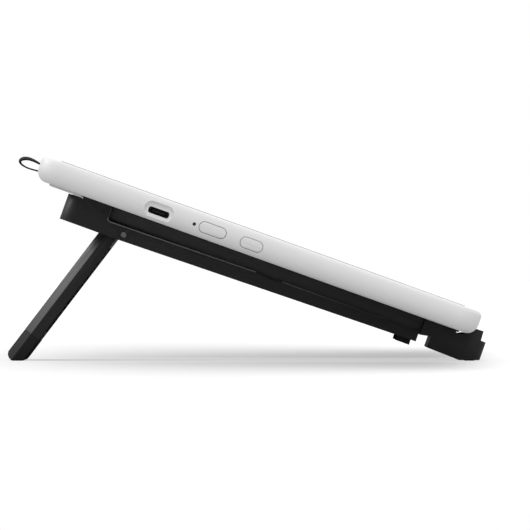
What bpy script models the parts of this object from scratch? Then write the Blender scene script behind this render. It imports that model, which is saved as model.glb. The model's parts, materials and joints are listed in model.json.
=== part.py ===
"""Pen drawing tablet on a folding desk stand, built as separate pieces.

The tablet lies on the stand with its front edge low. Everything that follows the tablet's slope is
drawn in the slope frame: u runs down the slope from the tablet's rear edge to its front edge, and v
stands square to the screen, with v = 0 on the glass. The leg is drawn in its own frame: reach runs
from the hinge to the floor, and t runs through its thickness, towards its rear face.
"""
import math

import bmesh
import bpy
from mathutils import Vector

MM = 0.001
GAP = 0.3 * MM                   # between pieces that touch

# Tablet
TABLET_WIDTH = 336.0 * MM
TABLET_DEPTH = 222.2 * MM
TABLET_THICK = 12.2 * MM         # glass face to belly
PLAN_RADIUS = 10.0 * MM          # corners seen from above
TOP_RADIUS = 2.0 * MM            # edge round the screen side
BELLY_RUN = 5.2 * MM             # how far the belly's curved edge reaches in
BELLY_RISE = 4.9 * MM            # how far it climbs
SHELL_WALL = 2.2 * MM
SHELL_FLOOR = 1.8 * MM
GLASS_INSET = 9.0 * MM           # white border round the glass
GLASS_THICK = 1.4 * MM
GLASS_PROUD = 0.35 * MM
GLASS_LEDGE = 2.0 * MM           # shelf that the glass is bonded to
PANEL_THICK = 1.6 * MM
BACKLIGHT_THICK = 1.4 * MM
DIGITIZER_THICK = 0.8 * MM
SHIELD_THICK = 0.5 * MM
STACK_MARGIN = 6.0 * MM          # boards stand this far inside the panel's edge
BOARD_THICK = 0.7 * MM
BOARD_WIDTH = 42.0 * MM

# Left edge of the tablet: port, lamp and buttons
PORT_U = 61.0 * MM
PORT_V = -7.45 * MM
SLOT_LENGTH = 10.3 * MM
SLOT_HEIGHT = 3.2 * MM
RECESS_DEPTH = 1.3 * MM
RECESS_LENGTH = 12.3 * MM
RECESS_HEIGHT = 6.6 * MM
RECESS_FLARE = 0.75              # run of the recess's wall for each unit of depth
PORT_LENGTH = 7.35 * MM
PORT_WIDE = 8.94 * MM
PORT_HIGH = 3.16 * MM
PORT_WALL = 0.3 * MM
LAMP_U = 78.8 * MM
LAMP_V = -6.95 * MM
LAMP_RADIUS = 0.5 * MM
POWER_U = 88.0 * MM
POWER_V = -6.75 * MM
POWER_LENGTH = 13.7 * MM
FUNCTION_U = 107.7 * MM
FUNCTION_V = -7.0 * MM
FUNCTION_LENGTH = 11.4 * MM
BUTTON_HEIGHT = 5.5 * MM
BUTTON_CLEARANCE = 0.3 * MM
BUTTON_TRAVEL = 0.5 * MM
BUTTON_EAR = 1.2 * MM            # lug each side that keeps a button in
BUTTON_EAR_THICK = 0.8 * MM
BUTTON_POST = 1.3 * MM

# Underside of the tablet and the pen loop
STRIP_INSET = 7.2 * MM           # edge of the tablet to the near edge of a foot strip
STRIP_WIDTH = 16.9 * MM
REAR_STRIP_LENGTH = 262.0 * MM
STRIP_PROUD = 0.85 * MM
STRIP_SEAT = 0.5 * MM
STRIP_RADIUS = 3.0 * MM
SCREW_HEAD_RADIUS = 1.8 * MM
SCREW_RADIUS = 0.9 * MM
SCREW_HEAD = 0.7 * MM
SCREW_LENGTH = 3.2 * MM
SCREW_SINK = 0.2 * MM
SCREW_SIDE = 18.0 * MM           # tablet's side to the outer screws
SCREW_FROM_STRIP = 10.0 * MM
LOOP_X = -112.0 * MM
LOOP_WIDTH = 16.0 * MM
LOOP_BAND = 0.8 * MM
LOOP_UPPER_V = -4.9 * MM
LOOP_LOWER_V = -8.4 * MM
LOOP_REACH = 8.4 * MM            # from the rear edge to the centre of the loop's round end
LOOP_TAIL = 5.0 * MM             # ends of the band inside the shell

# Stand
STAND_WIDTH = 232.0 * MM
TILT = math.radians(19.73)
RAIL_THICK = 3.7 * MM
BLOCK_U = 17.2 * MM              # rear face
BLOCK_DEPTH = 21.15 * MM
BLOCK_DROP = TABLET_THICK + 14.0 * MM  # screen side of the tablet to the block's underside
BLOCK_RADIUS = 6.5 * MM
BOSS_WIDTH = 16.0 * MM
RAIL_DROP_REAR = TABLET_THICK + 14.1 * MM
RAIL_DROP_FRONT = TABLET_THICK + 11.8 * MM
RAIL_END_U = TABLET_DEPTH - 25.2 * MM
RAIL_KNEE_U = 45.0 * MM
LEDGE_OUTER_V = -TABLET_THICK - 7.5 * MM
LEDGE_INNER_V = -TABLET_THICK - 5.9 * MM
LEDGE_FRONT_V = -TABLET_THICK - 6.8 * MM
LEDGE_START = 2.6 * MM           # recess wall to the start of the ledge
NOTCH_BACK = 3.95 * MM           # folded leg's heel back to the finger notch
NOTCH_LENGTH = 10.0 * MM
NOTCH_DEPTH = 1.6 * MM
DECK_THICK = 4.4 * MM
SKIRT_THICK = 1.8 * MM
SKIRT_DROP = 2.6 * MM
TOE_LENGTH = 14.0 * MM
TOE_WIDTH = 12.0 * MM
TOE_STEP = 0.3 * MM              # toe stands back from the side wall's own faces
POCKET_WALL = 3.0 * MM
POCKET_COUNT = 6
BOLT_RADIUS = 2.0 * MM
BOLT_LENGTH = 24.0 * MM

# Front bar
BAR_U = TABLET_DEPTH - 19.1 * MM  # rear face of the thick part
BAR_FRONT_OVER = 6.5 * MM        # tablet's front edge to the bar's front face
BAR_DROP_REAR = TABLET_THICK + 12.7 * MM
BAR_DROP_FRONT = TABLET_THICK + 13.2 * MM
BAR_SOLE_U = TABLET_DEPTH - 1.8 * MM  # where the sole starts
NECK_DROP = TABLET_THICK + 7.1 * MM
NECK_DROP_REAR = TABLET_THICK + 8.1 * MM
BAR_SHOULDER_V = -TABLET_THICK - 1.1 * MM
LIP_TOP_V = -TABLET_THICK + 3.7 * MM
CHEEK_THICK = 7.0 * MM           # raised ends of the bar, outside the foot strip
CHEEK_IN = 9.8 * MM              # tablet's front edge back to the cheek's front end
CHEEK_STEP = 0.05 * MM           # top between the cheeks, below the plain top
LIP_OVER = 3.7 * MM              # tablet's front edge to the lip's front face
BAR_RADIUS = 6.0 * MM
PAD_THICK = 0.8 * MM
PAD_LENGTH = 48.0 * MM
PAD_INSET = 12.0 * MM            # end of the stand to the end of a pad
SOLE_PAD_THICK = 1.4 * MM
SOLE_PAD_PROUD = 0.3 * MM
TIE_X = 70.0 * MM
TIE_WIDTH = 22.0 * MM
TIE_THICK = 1.5 * MM
TIE_REAR = 28.0 * MM             # how far a tie bar runs back under the deck
TIE_FRONT = 14.0 * MM            # and forward into the bar
FLAT_FOOT_U = TABLET_DEPTH - 34.8 * MM
FLAT_FOOT_LENGTH = 7.1 * MM
FLAT_FOOT_DROP = TABLET_THICK + 14.4 * MM
FLAT_FOOT_WIDTH = 8.6 * MM
FLAT_FOOT_SEAT = 1.0 * MM

# Leg and hinge
HINGE_U = 42.7 * MM
HINGE_V = -TABLET_THICK - 9.9 * MM
LEG_OPEN = math.radians(107.6)   # deck line to the open leg
LEG_THICK = 8.4 * MM
LEG_CHAMFER = 3.6 * MM
LEG_SIDE_CLEARANCE = 1.4 * MM    # hinge plate to the leg's side, filled by a washer
LEG_BACK_WALL = 2.4 * MM
LEG_POCKETS = 8
LEG_RIB = 3.0 * MM
SHOE_LENGTH = 15.7 * MM
SHOE_PROUD = 0.1 * MM
SHOE_SOLE = 5.2 * MM             # width of the flat that stands on the floor
TONGUE_THICK = 4.0 * MM
TONGUE_LENGTH = 5.0 * MM
PIN_RADIUS = 1.5 * MM
PIN_RUNNING = 0.3 * MM
PIN_IN_LEG = 9.0 * MM
PLATE_THICK = 1.5 * MM
RIVET_U = 48.7 * MM
RIVET_V = -TABLET_THICK - 10.9 * MM
RIVET_RADIUS = 1.45 * MM
WASHER_RADIUS = 3.7 * MM
WASHER_THICK = 0.8 * MM

# Worked out from the sizes above
BELLY_V = -TABLET_THICK
STRIP_V = BELLY_V - STRIP_PROUD
DECK_V = BELLY_V - GAP
REST_V = STRIP_V - GAP
HALF_TABLET = TABLET_WIDTH / 2
HALF_STAND = STAND_WIDTH / 2
FRONT_STRIP_LENGTH = STAND_WIDTH - 2 * CHEEK_THICK - 2 * MM  # lies between the front bar's cheeks
RIM_V = -GLASS_PROUD
BLOCK_FRONT_U = BLOCK_U + BLOCK_DEPTH
STEP_U = STRIP_INSET + STRIP_WIDTH + GAP
FRONT_STEP_U = TABLET_DEPTH - STEP_U
DECK_REAR_U = BLOCK_FRONT_U + 3 * GAP
DECK_FLOOR_V = DECK_V - DECK_THICK
RAIL_INNER_X = HALF_STAND - RAIL_THICK
SKIRT_X = RAIL_INNER_X - GAP
PLATE_X = SKIRT_X - GAP / 2
LEG_HALF = PLATE_X - PLATE_THICK - LEG_SIDE_CLEARANCE
BAR_FRONT_U = TABLET_DEPTH + BAR_FRONT_OVER
LEG_LEAN = LEG_OPEN + TILT - math.pi / 2

FINISHES = {
    "white_abs": ((0.80, 0.81, 0.82), 0.45, 0.0),
    "black_abs": ((0.014, 0.014, 0.015), 0.55, 0.0),
    "black_rubber": ((0.020, 0.020, 0.021), 0.80, 0.0),
    "white_rubber": ((0.72, 0.73, 0.74), 0.70, 0.0),
    "glass": ((0.010, 0.011, 0.013), 0.20, 0.0),
    "steel": ((0.55, 0.56, 0.57), 0.35, 1.0),
    "board": ((0.020, 0.110, 0.050), 0.50, 0.0),
    "elastic": ((0.012, 0.012, 0.013), 0.90, 0.0),
    "lamp": ((0.10, 0.10, 0.11), 0.30, 0.0),
}


def clear_scene():
    for item in list(bpy.data.objects):
        bpy.data.objects.remove(item, do_unlink=True)


def rounded(corners, segments=4):
    """Closed outline through corners (a, b, radius), each turned into an arc where it has a radius."""
    outline = []
    count = len(corners)
    for index, (a, b, radius) in enumerate(corners):
        here = Vector((a, b))
        if radius == 0:
            outline.append((a, b))
            continue
        before = (Vector(corners[index - 1][:2]) - here).normalized()
        after = (Vector(corners[(index + 1) % count][:2]) - here).normalized()
        half = before.angle(after) / 2
        centre = here + (before + after).normalized() * radius / math.sin(half)
        first = here + before * radius / math.tan(half) - centre
        last = here + after * radius / math.tan(half) - centre
        turn = math.atan2(first.x * last.y - first.y * last.x, first.dot(last))
        for step in range(segments + 1):
            angle = turn * step / segments
            c, s = math.cos(angle), math.sin(angle)
            outline.append((centre.x + c * first.x - s * first.y, centre.y + s * first.x + c * first.y))
    return outline


def pill(u, v, length, height, segments=6):
    a, b = length / 2, height / 2
    radius = b * 0.999
    corners = [(u - a, v - b, radius), (u + a, v - b, radius), (u + a, v + b, radius),
               (u - a, v + b, radius)]
    return rounded(corners, segments)


def loft(name, rings):
    """Closed solid through rings that all have the same number of points."""
    bm = bmesh.new()
    loops = [[bm.verts.new(point) for point in ring] for ring in rings]
    count = len(rings[0])
    for lower, upper in zip(loops, loops[1:]):
        for i in range(count):
            j = (i + 1) % count
            bm.faces.new((lower[i], lower[j], upper[j], upper[i]))
    bm.faces.new(loops[0])
    bm.faces.new(loops[-1])
    bmesh.ops.recalc_face_normals(bm, faces=bm.faces)
    bmesh.ops.triangulate(bm, faces=bm.faces)
    mesh = bpy.data.meshes.new(name)
    bm.to_mesh(mesh)
    bm.free()
    obj = bpy.data.objects.new(name, mesh)
    bpy.context.scene.collection.objects.link(obj)
    return obj


def side_prism(name, outline, x0, x1):
    """Outline in (u, v), drawn across the stand from x0 to x1."""
    return loft(name, [[(x, -u, v) for u, v in outline] for x in (x0, x1)])


def plan_prism(name, outline, v0, v1):
    """Outline in (x, u), drawn through the thickness from v0 to v1."""
    return loft(name, [[(x, -u, v) for x, u in outline] for v in (v0, v1)])


def box(name, x_range, u_range, v_range):
    (x0, x1), (u0, u1) = x_range, u_range
    return plan_prism(name, [(x0, u0), (x1, u0), (x1, u1), (x0, u1)], *v_range)


def rod_across(name, u, v, radius, x0, x1, segments=24):
    outline = circle(radius, segments)
    return side_prism(name, [(u + a, v + b) for a, b in outline], x0, x1)


def circle(radius, segments):
    turns = [2 * math.pi * k / segments for k in range(segments)]
    return [(radius * math.cos(t), radius * math.sin(t)) for t in turns]


def combine(obj, tool, operation="DIFFERENCE"):
    """Apply one Boolean to obj and remove the tool."""
    modifier = obj.modifiers.new(operation.lower(), "BOOLEAN")
    modifier.object = tool
    modifier.operation = operation
    modifier.solver = "EXACT"
    bpy.context.view_layer.update()
    result = bpy.data.meshes.new_from_object(obj.evaluated_get(bpy.context.evaluated_depsgraph_get()))
    obj.modifiers.clear()
    obj.data = result
    bpy.data.objects.remove(tool, do_unlink=True)
    return obj


def screw(name, x, u, low, high, parent):
    """Flat-head screw that points up from the underside of its head at low."""
    neck = low + SCREW_HEAD
    levels = [(low, SCREW_HEAD_RADIUS), (neck, SCREW_HEAD_RADIUS), (neck, SCREW_RADIUS),
              (high, SCREW_RADIUS)]
    rings = [[(x + a, -u + b, v) for a, b in circle(radius, 12)] for v, radius in levels]
    return finish(loft(name, rings), "steel", parent)


def finish(obj, finish_name, parent, smooth_angle=35.0):
    """Name the mesh, give the piece its own material, shade it and hang it on its frame."""
    colour, roughness, metallic = FINISHES[finish_name]
    material = bpy.data.materials.new(f"{obj.name}_{finish_name}")
    material.use_nodes = True
    shader = material.node_tree.nodes["Principled BSDF"]
    shader.inputs["Base Color"].default_value = (*colour, 1.0)
    shader.inputs["Roughness"].default_value = roughness
    shader.inputs["Metallic"].default_value = metallic
    obj.data.name = obj.name
    obj.data.materials.clear()
    obj.data.materials.append(material)
    obj.data.shade_smooth()
    obj.data.set_sharp_from_angle(angle=math.radians(smooth_angle))
    obj.parent = parent
    return obj


def world_height(u, v):
    """Height of a slope-frame point above the slope frame's own origin."""
    return v * math.cos(TILT) - u * math.sin(TILT)


def world_back(u, v):
    """The same for its place along world Y."""
    return -u * math.cos(TILT) - v * math.sin(TILT)


def leg_floor(t):
    """Reach at which a line of the leg, t behind its middle, meets the floor."""
    return (HINGE_Z + t * math.sin(LEG_LEAN)) / math.cos(LEG_LEAN)


ORIGIN_Z = -world_height(BAR_SOLE_U, -BAR_DROP_FRONT)
HINGE_Z = ORIGIN_Z + world_height(HINGE_U, HINGE_V)
SHOE_HEEL_REACH = leg_floor(0.0) - 2.6 * MM
REAR_MOST = (world_back(HINGE_U, HINGE_V) + LEG_THICK / 2 * math.cos(LEG_LEAN)
             + SHOE_HEEL_REACH * math.sin(LEG_LEAN))
FRONT_MOST = world_back(BAR_FRONT_U, BAR_SHOULDER_V)
ORIGIN_Y = -(REAR_MOST + FRONT_MOST) / 2
HINGE_Y = ORIGIN_Y + world_back(HINGE_U, HINGE_V)
NOTCH_U = HINGE_U + SHOE_HEEL_REACH - NOTCH_BACK


def frames():
    slope = bpy.data.objects.new("slope_frame", None)
    slope.location = (0, ORIGIN_Y, ORIGIN_Z)
    slope.rotation_euler = (TILT, 0, 0)
    hinge = bpy.data.objects.new("leg_hinge_axis", None)
    hinge.location = (0, HINGE_Y, HINGE_Z)
    hinge.rotation_euler = (LEG_LEAN, 0, 0)
    for empty in (slope, hinge):
        bpy.context.scene.collection.objects.link(empty)
    return slope, hinge


# ---------------------------------------------------------------- tablet

def plan_ring(inset, v, segments=6):
    """Outline of the tablet seen from above, moved in by inset, at height v."""
    radius = max(PLAN_RADIUS - inset, 1.0 * MM)
    x, near, far = HALF_TABLET - inset, inset, TABLET_DEPTH - inset
    corners = [(-x, near, radius), (x, near, radius), (x, far, radius), (-x, far, radius)]
    return [(a, -b, v) for a, b in rounded(corners, segments)]


def skin(run, rise, start_inset, floor_v, steps=6):
    """Insets and heights of the belly's curved edge, from the floor up to the straight side."""
    points = []
    for step in range(steps + 1):
        angle = math.pi / 2 * step / steps
        points.append((start_inset + run * (1 - math.sin(angle)), floor_v + rise * (1 - math.cos(angle))))
    return points


def outer_skin():
    profile = skin(BELLY_RUN, BELLY_RISE, 0.0, BELLY_V)
    for step in range(5):
        angle = math.pi / 2 * step / 4
        profile.append((TOP_RADIUS * (1 - math.cos(angle)), RIM_V - TOP_RADIUS * (1 - math.sin(angle))))
    return profile


def tablet_solid(name):
    return loft(name, [plan_ring(inset, v) for inset, v in outer_skin()])


def recess_tool():
    """Flared pocket round the port, a little longer than the depth that it cuts."""
    rings = []
    for depth in (-1.0 * MM, RECESS_DEPTH):
        grow = 2 * RECESS_FLARE * (RECESS_DEPTH - depth)
        length, height = RECESS_LENGTH + grow, RECESS_HEIGHT + grow
        radius = height * 0.42
        a, b = length / 2, height / 2
        corners = [(PORT_U - a, PORT_V - b, radius), (PORT_U + a, PORT_V - b, radius),
                   (PORT_U + a, PORT_V + b, radius), (PORT_U - a, PORT_V + b, radius)]
        rings.append([(-HALF_TABLET + depth, -u, v) for u, v in rounded(corners, 5)])
    return loft("recess_tool", rings)


def screw_places():
    """Three screws along the rear and three along the front, clear of the foot strips."""
    outer = HALF_TABLET - SCREW_SIDE
    for x in (-outer, 0.0, outer):
        for u in (STEP_U + SCREW_FROM_STRIP, TABLET_DEPTH - STEP_U - SCREW_FROM_STRIP):
            yield x, u


def strip_ranges():
    rear = (STRIP_INSET, STRIP_INSET + STRIP_WIDTH)
    front = (TABLET_DEPTH - STRIP_INSET - STRIP_WIDTH, TABLET_DEPTH - STRIP_INSET)
    return {"rear_foot_strip": rear, "front_foot_strip": front}


def strip_half(name):
    return (REAR_STRIP_LENGTH if name == "rear_foot_strip" else FRONT_STRIP_LENGTH) / 2


def rear_shell(parent):
    """White tray with its side walls turned in over the top to carry the glass."""
    shelf_v = RIM_V - (GLASS_THICK - GLASS_PROUD) - GAP
    rings = [plan_ring(inset, v) for inset, v in outer_skin()]
    rings += [plan_ring(GLASS_INSET - GAP, RIM_V), plan_ring(GLASS_INSET - GAP, shelf_v)]
    rings += [plan_ring(GLASS_INSET + GLASS_LEDGE, shelf_v)]
    rings += [plan_ring(GLASS_INSET + GLASS_LEDGE, shelf_v - SHELL_WALL * 0.7)]
    rings += [plan_ring(SHELL_WALL, shelf_v - SHELL_WALL * 0.7)]
    inner = skin(BELLY_RUN - SHELL_FLOOR, BELLY_RISE - SHELL_FLOOR, SHELL_WALL, BELLY_V + SHELL_FLOOR)
    rings += [plan_ring(inset, v) for inset, v in reversed(inner)]
    shell = loft("rear_shell", rings)
    combine(shell, recess_tool())
    outside, inside = -HALF_TABLET - 1 * MM, -HALF_TABLET + SHELL_WALL + 2 * MM
    slot = pill(PORT_U, PORT_V, SLOT_LENGTH, SLOT_HEIGHT)
    combine(shell, side_prism("slot_tool", slot, outside, inside))
    for u, v, length in ((POWER_U, POWER_V, POWER_LENGTH), (FUNCTION_U, FUNCTION_V, FUNCTION_LENGTH)):
        hole = pill(u, v, length + 2 * BUTTON_CLEARANCE, BUTTON_HEIGHT + 2 * BUTTON_CLEARANCE)
        combine(shell, side_prism("button_tool", hole, outside, inside))
    combine(shell, rod_across("lamp_tool", LAMP_U, LAMP_V, LAMP_RADIUS + GAP, outside, inside, 16))
    for name, u_range in strip_ranges().items():
        wide = strip_half(name) + GAP
        seat = (u_range[0] - GAP, u_range[1] + GAP)
        combine(shell, box("seat_tool", (-wide, wide), seat, (BELLY_V - 1 * MM, BELLY_V + STRIP_SEAT)))
    for x, u in screw_places():
        sink = SCREW_HEAD + SCREW_SINK + GAP
        around = [(x + a, u + b) for a, b in circle(SCREW_HEAD_RADIUS + GAP, 16)]
        combine(shell, plan_prism("sink_tool", around, BELLY_V - 1 * MM, BELLY_V + sink))
        around = [(x + a, u + b) for a, b in circle(SCREW_RADIUS + GAP, 12)]
        combine(shell, plan_prism("hole_tool", around, BELLY_V - 1 * MM, BELLY_V + SHELL_FLOOR + 1 * MM))
    for v in (LOOP_UPPER_V, LOOP_LOWER_V):
        half = LOOP_BAND / 2 + GAP
        across = (LOOP_X - LOOP_WIDTH / 2 - GAP, LOOP_X + LOOP_WIDTH / 2 + GAP)
        combine(shell, box("band_tool", across, (-1 * MM, SHELL_WALL + 2 * MM), (v - half, v + half)))
    return finish(shell, "white_abs", parent)


def cover_glass(parent):
    top, low = 0.0, -GLASS_THICK
    edge = 0.3 * MM
    rings = [plan_ring(GLASS_INSET, low), plan_ring(GLASS_INSET, top - edge)]
    rings.append(plan_ring(GLASS_INSET + edge, top))
    return finish(loft("cover_glass", rings), "glass", parent)


def screen_stack(parent):
    """Display panel, backlight, pen sensor and shield, one under the other below the glass."""
    layers = [("display_panel", PANEL_THICK, 0.4 * MM, "glass"),
              ("backlight_tray", BACKLIGHT_THICK, 1.0 * MM, "steel"),
              ("digitizer_board", DIGITIZER_THICK, STACK_MARGIN, "board"),
              ("shield_plate", SHIELD_THICK, STACK_MARGIN / 2, "steel")]
    top = -GLASS_THICK - GAP
    made = []
    for name, thick, margin, finish_name in layers:
        inset = GLASS_INSET + GLASS_LEDGE + margin
        layer = loft(name, [plan_ring(inset, top - thick), plan_ring(inset, top)])
        made.append(finish(layer, finish_name, parent))
        top -= thick + GAP
    return made


def port_face():
    return -HALF_TABLET + SHELL_WALL + 0.9 * MM


def board_top():
    return PORT_V - PORT_HIGH / 2 - GAP


def main_board(parent):
    """Board on the shell's floor behind the left edge, under the port and the switches."""
    x0 = -HALF_TABLET + SHELL_WALL + 2.6 * MM
    x1 = x0 + BOARD_WIDTH
    u0, u1 = PORT_U - 15 * MM, FUNCTION_U + 16 * MM
    top = board_top()
    board = box("main_board", (x0, x1), (u0, u1), (top - BOARD_THICK, top))
    finish(board, "board", parent)
    can = box("processor_shield", (x1 - 22 * MM, x1 - 6 * MM), (u0 + 30 * MM, u0 + 48 * MM),
              (top + GAP, top + GAP + 0.9 * MM))
    finish(can, "steel", parent)


def usb_port(parent):
    """Receptacle open towards the edge, with its tongue inside."""
    x0 = port_face()
    x1 = x0 + PORT_LENGTH
    shell = side_prism("usb_c_shell", pill(PORT_U, PORT_V, PORT_WIDE, PORT_HIGH), x0, x1)
    inner = pill(PORT_U, PORT_V, PORT_WIDE - 2 * PORT_WALL, PORT_HIGH - 2 * PORT_WALL)
    combine(shell, side_prism("port_tool", inner, x0 - 1 * MM, x1 - 1.0 * MM))
    finish(shell, "steel", parent)
    tongue = box("usb_c_tongue", (x0 + 1.3 * MM, x1 - 1.0 * MM - GAP),
                 (PORT_U - 3.3 * MM, PORT_U + 3.3 * MM),
                 (PORT_V - 0.35 * MM, PORT_V + 0.35 * MM))
    finish(tongue, "black_abs", parent)


def light_pipe(parent):
    pipe = rod_across("status_light_pipe", LAMP_U, LAMP_V, LAMP_RADIUS, -HALF_TABLET + 0.15 * MM,
                      port_face() + 2.5 * MM, 12)
    return finish(pipe, "lamp", parent)


def edge_button(name, u, v, length, parent):
    """Button cap whose outside follows the shell's edge, with two ears and a post behind the wall."""
    ear_x = port_face()
    cap = side_prism(name, pill(u, v, length, BUTTON_HEIGHT), -HALF_TABLET - 2 * MM,
                     ear_x + BUTTON_EAR_THICK)
    combine(cap, tablet_solid("edge_tool"), "INTERSECT")
    reach = length / 2 + BUTTON_EAR
    ears = box("ears", (ear_x, ear_x + BUTTON_EAR_THICK), (u - reach, u + reach),
               (v - BUTTON_HEIGHT * 0.4, v + BUTTON_HEIGHT * 0.4))
    combine(cap, ears, "UNION")
    post = box("post", (ear_x + BUTTON_EAR_THICK / 2, ear_x + BUTTON_EAR_THICK + BUTTON_POST),
               (u - 1.2 * MM, u + 1.2 * MM), (v - 0.9 * MM, v + 0.9 * MM))
    combine(cap, post, "UNION")
    return finish(cap, "white_abs", parent)


def button_switches(parent):
    """A switch behind each button, standing on the main board."""
    x0 = port_face() + BUTTON_EAR_THICK + BUTTON_POST + BUTTON_TRAVEL + GAP
    for name, u, v in (("power_switch", POWER_U, POWER_V), ("function_switch", FUNCTION_U, FUNCTION_V)):
        body = box(name, (x0 + 0.5 * MM, x0 + 3.6 * MM), (u - 3 * MM, u + 3 * MM),
                   (board_top() + GAP, board_top() + 3.4 * MM))
        nub = box("nub", (x0, x0 + 1 * MM), (u - 1 * MM, u + 1 * MM), (v - 0.8 * MM, v + 0.8 * MM))
        finish(combine(body, nub, "UNION"), "black_abs", parent)


def foot_strips(parent):
    for name, u_range in strip_ranges().items():
        half, radius = strip_half(name), STRIP_RADIUS
        corners = [(-half, u_range[0], radius), (half, u_range[0], radius),
                   (half, u_range[1], radius), (-half, u_range[1], radius)]
        top = BELLY_V + STRIP_SEAT - GAP
        edge = 0.4 * MM
        inner = [(a * (1 - edge / half), u_range[0] + edge + (b - u_range[0]) * (1 - 2 * edge / STRIP_WIDTH))
                 for a, b in rounded(corners)]
        rings = [[(x, -u, v) for x, u in outline] for outline, v in
                 ((inner, STRIP_V), (rounded(corners), STRIP_V + edge), (rounded(corners), top))]
        finish(loft(name, rings), "white_rubber", parent)


def shell_screws(parent):
    """Flat-head screws up through the belly."""
    low = BELLY_V + SCREW_SINK
    for number, (x, u) in enumerate(screw_places(), 1):
        screw(f"shell_screw_{number}", x, u, low, low + SCREW_LENGTH, parent)


def pen_loop(parent):
    """Flat elastic band through two slits in the rear edge, held by a bar inside."""
    mid = (LOOP_UPPER_V + LOOP_LOWER_V) / 2
    half = (LOOP_UPPER_V - LOOP_LOWER_V) / 2

    def arm(offset):
        radius = half + offset
        turns = [math.pi / 2 + math.pi * k / 12 for k in range(13)]
        bend = [(-LOOP_REACH + radius * math.cos(t), mid + radius * math.sin(t)) for t in turns]
        return [(LOOP_TAIL, mid + radius)] + bend + [(LOOP_TAIL, mid - radius)]

    outline = arm(LOOP_BAND / 2) + list(reversed(arm(-LOOP_BAND / 2)))
    band = side_prism("pen_loop", outline, LOOP_X - LOOP_WIDTH / 2, LOOP_X + LOOP_WIDTH / 2)
    finish(band, "elastic", parent)
    clear = LOOP_BAND / 2 + GAP
    bar = box("loop_anchor", (LOOP_X - LOOP_WIDTH / 2, LOOP_X + LOOP_WIDTH / 2),
              (SHELL_WALL + GAP, LOOP_TAIL), (LOOP_LOWER_V + clear, LOOP_UPPER_V - clear))
    return finish(bar, "black_abs", parent)


# ---------------------------------------------------------------- stand

def leg_rear_face_u(v, clearance):
    """Slope-frame place of the open leg's rear face at height v, less a clearance."""
    normal = (-math.sin(LEG_OPEN), -math.cos(LEG_OPEN))
    along = (math.cos(LEG_OPEN), -math.sin(LEG_OPEN))
    reach = LEG_THICK / 2 + clearance
    start_u, start_v = HINGE_U + reach * normal[0], HINGE_V + reach * normal[1]
    return start_u + (v - start_v) * along[0] / along[1]


def block_outline():
    """Rear block, with a slanted front face that the open leg leans on."""
    lean_top_v = HINGE_V + LEG_THICK * 0.15
    front_u = min(BLOCK_FRONT_U, leg_rear_face_u(lean_top_v, GAP))
    return [(BLOCK_U, -BLOCK_DROP), (leg_rear_face_u(-BLOCK_DROP, GAP), -BLOCK_DROP), (front_u, lean_top_v),
            (front_u, DECK_V), (STEP_U + GAP, DECK_V), (STEP_U, REST_V), (BLOCK_U, REST_V)]


def plan_corner_tool(radius, front_u):
    """Plan outline of the stand, with rounded rear corners."""
    corners = [(-HALF_STAND, BLOCK_U, radius), (HALF_STAND, BLOCK_U, radius), (HALF_STAND, front_u, 0),
               (-HALF_STAND, front_u, 0)]
    return plan_prism("plan_tool", rounded(corners, 6), -60 * MM, 10 * MM)


def rail_section(ledge_v, front_v):
    """Side wall's outline in (u, v). The ledge narrows to nothing at the finger notch."""
    wall_u = BLOCK_FRONT_U + 2 * GAP
    start = wall_u + LEDGE_START
    inside = BLOCK_U + BLOCK_DEPTH / 2
    corner = [(start - LEDGE_START * math.sin(a), ledge_v + LEDGE_START * 0.7 * (1 - math.cos(a)))
              for a in (math.radians(d) for d in (0, 30, 60, 90))]
    top = [(RAIL_END_U, LEDGE_FRONT_V), (NOTCH_U + NOTCH_LENGTH, front_v),
           (NOTCH_U, (LEDGE_OUTER_V + LEDGE_INNER_V) / 2 + 0.15 * MM)]
    bottom = [(inside, -BLOCK_DROP), (RAIL_KNEE_U, -RAIL_DROP_REAR), (RAIL_END_U, -RAIL_DROP_FRONT)]
    return bottom + top + corner + [(wall_u, DECK_V), (inside, DECK_V)]


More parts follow.
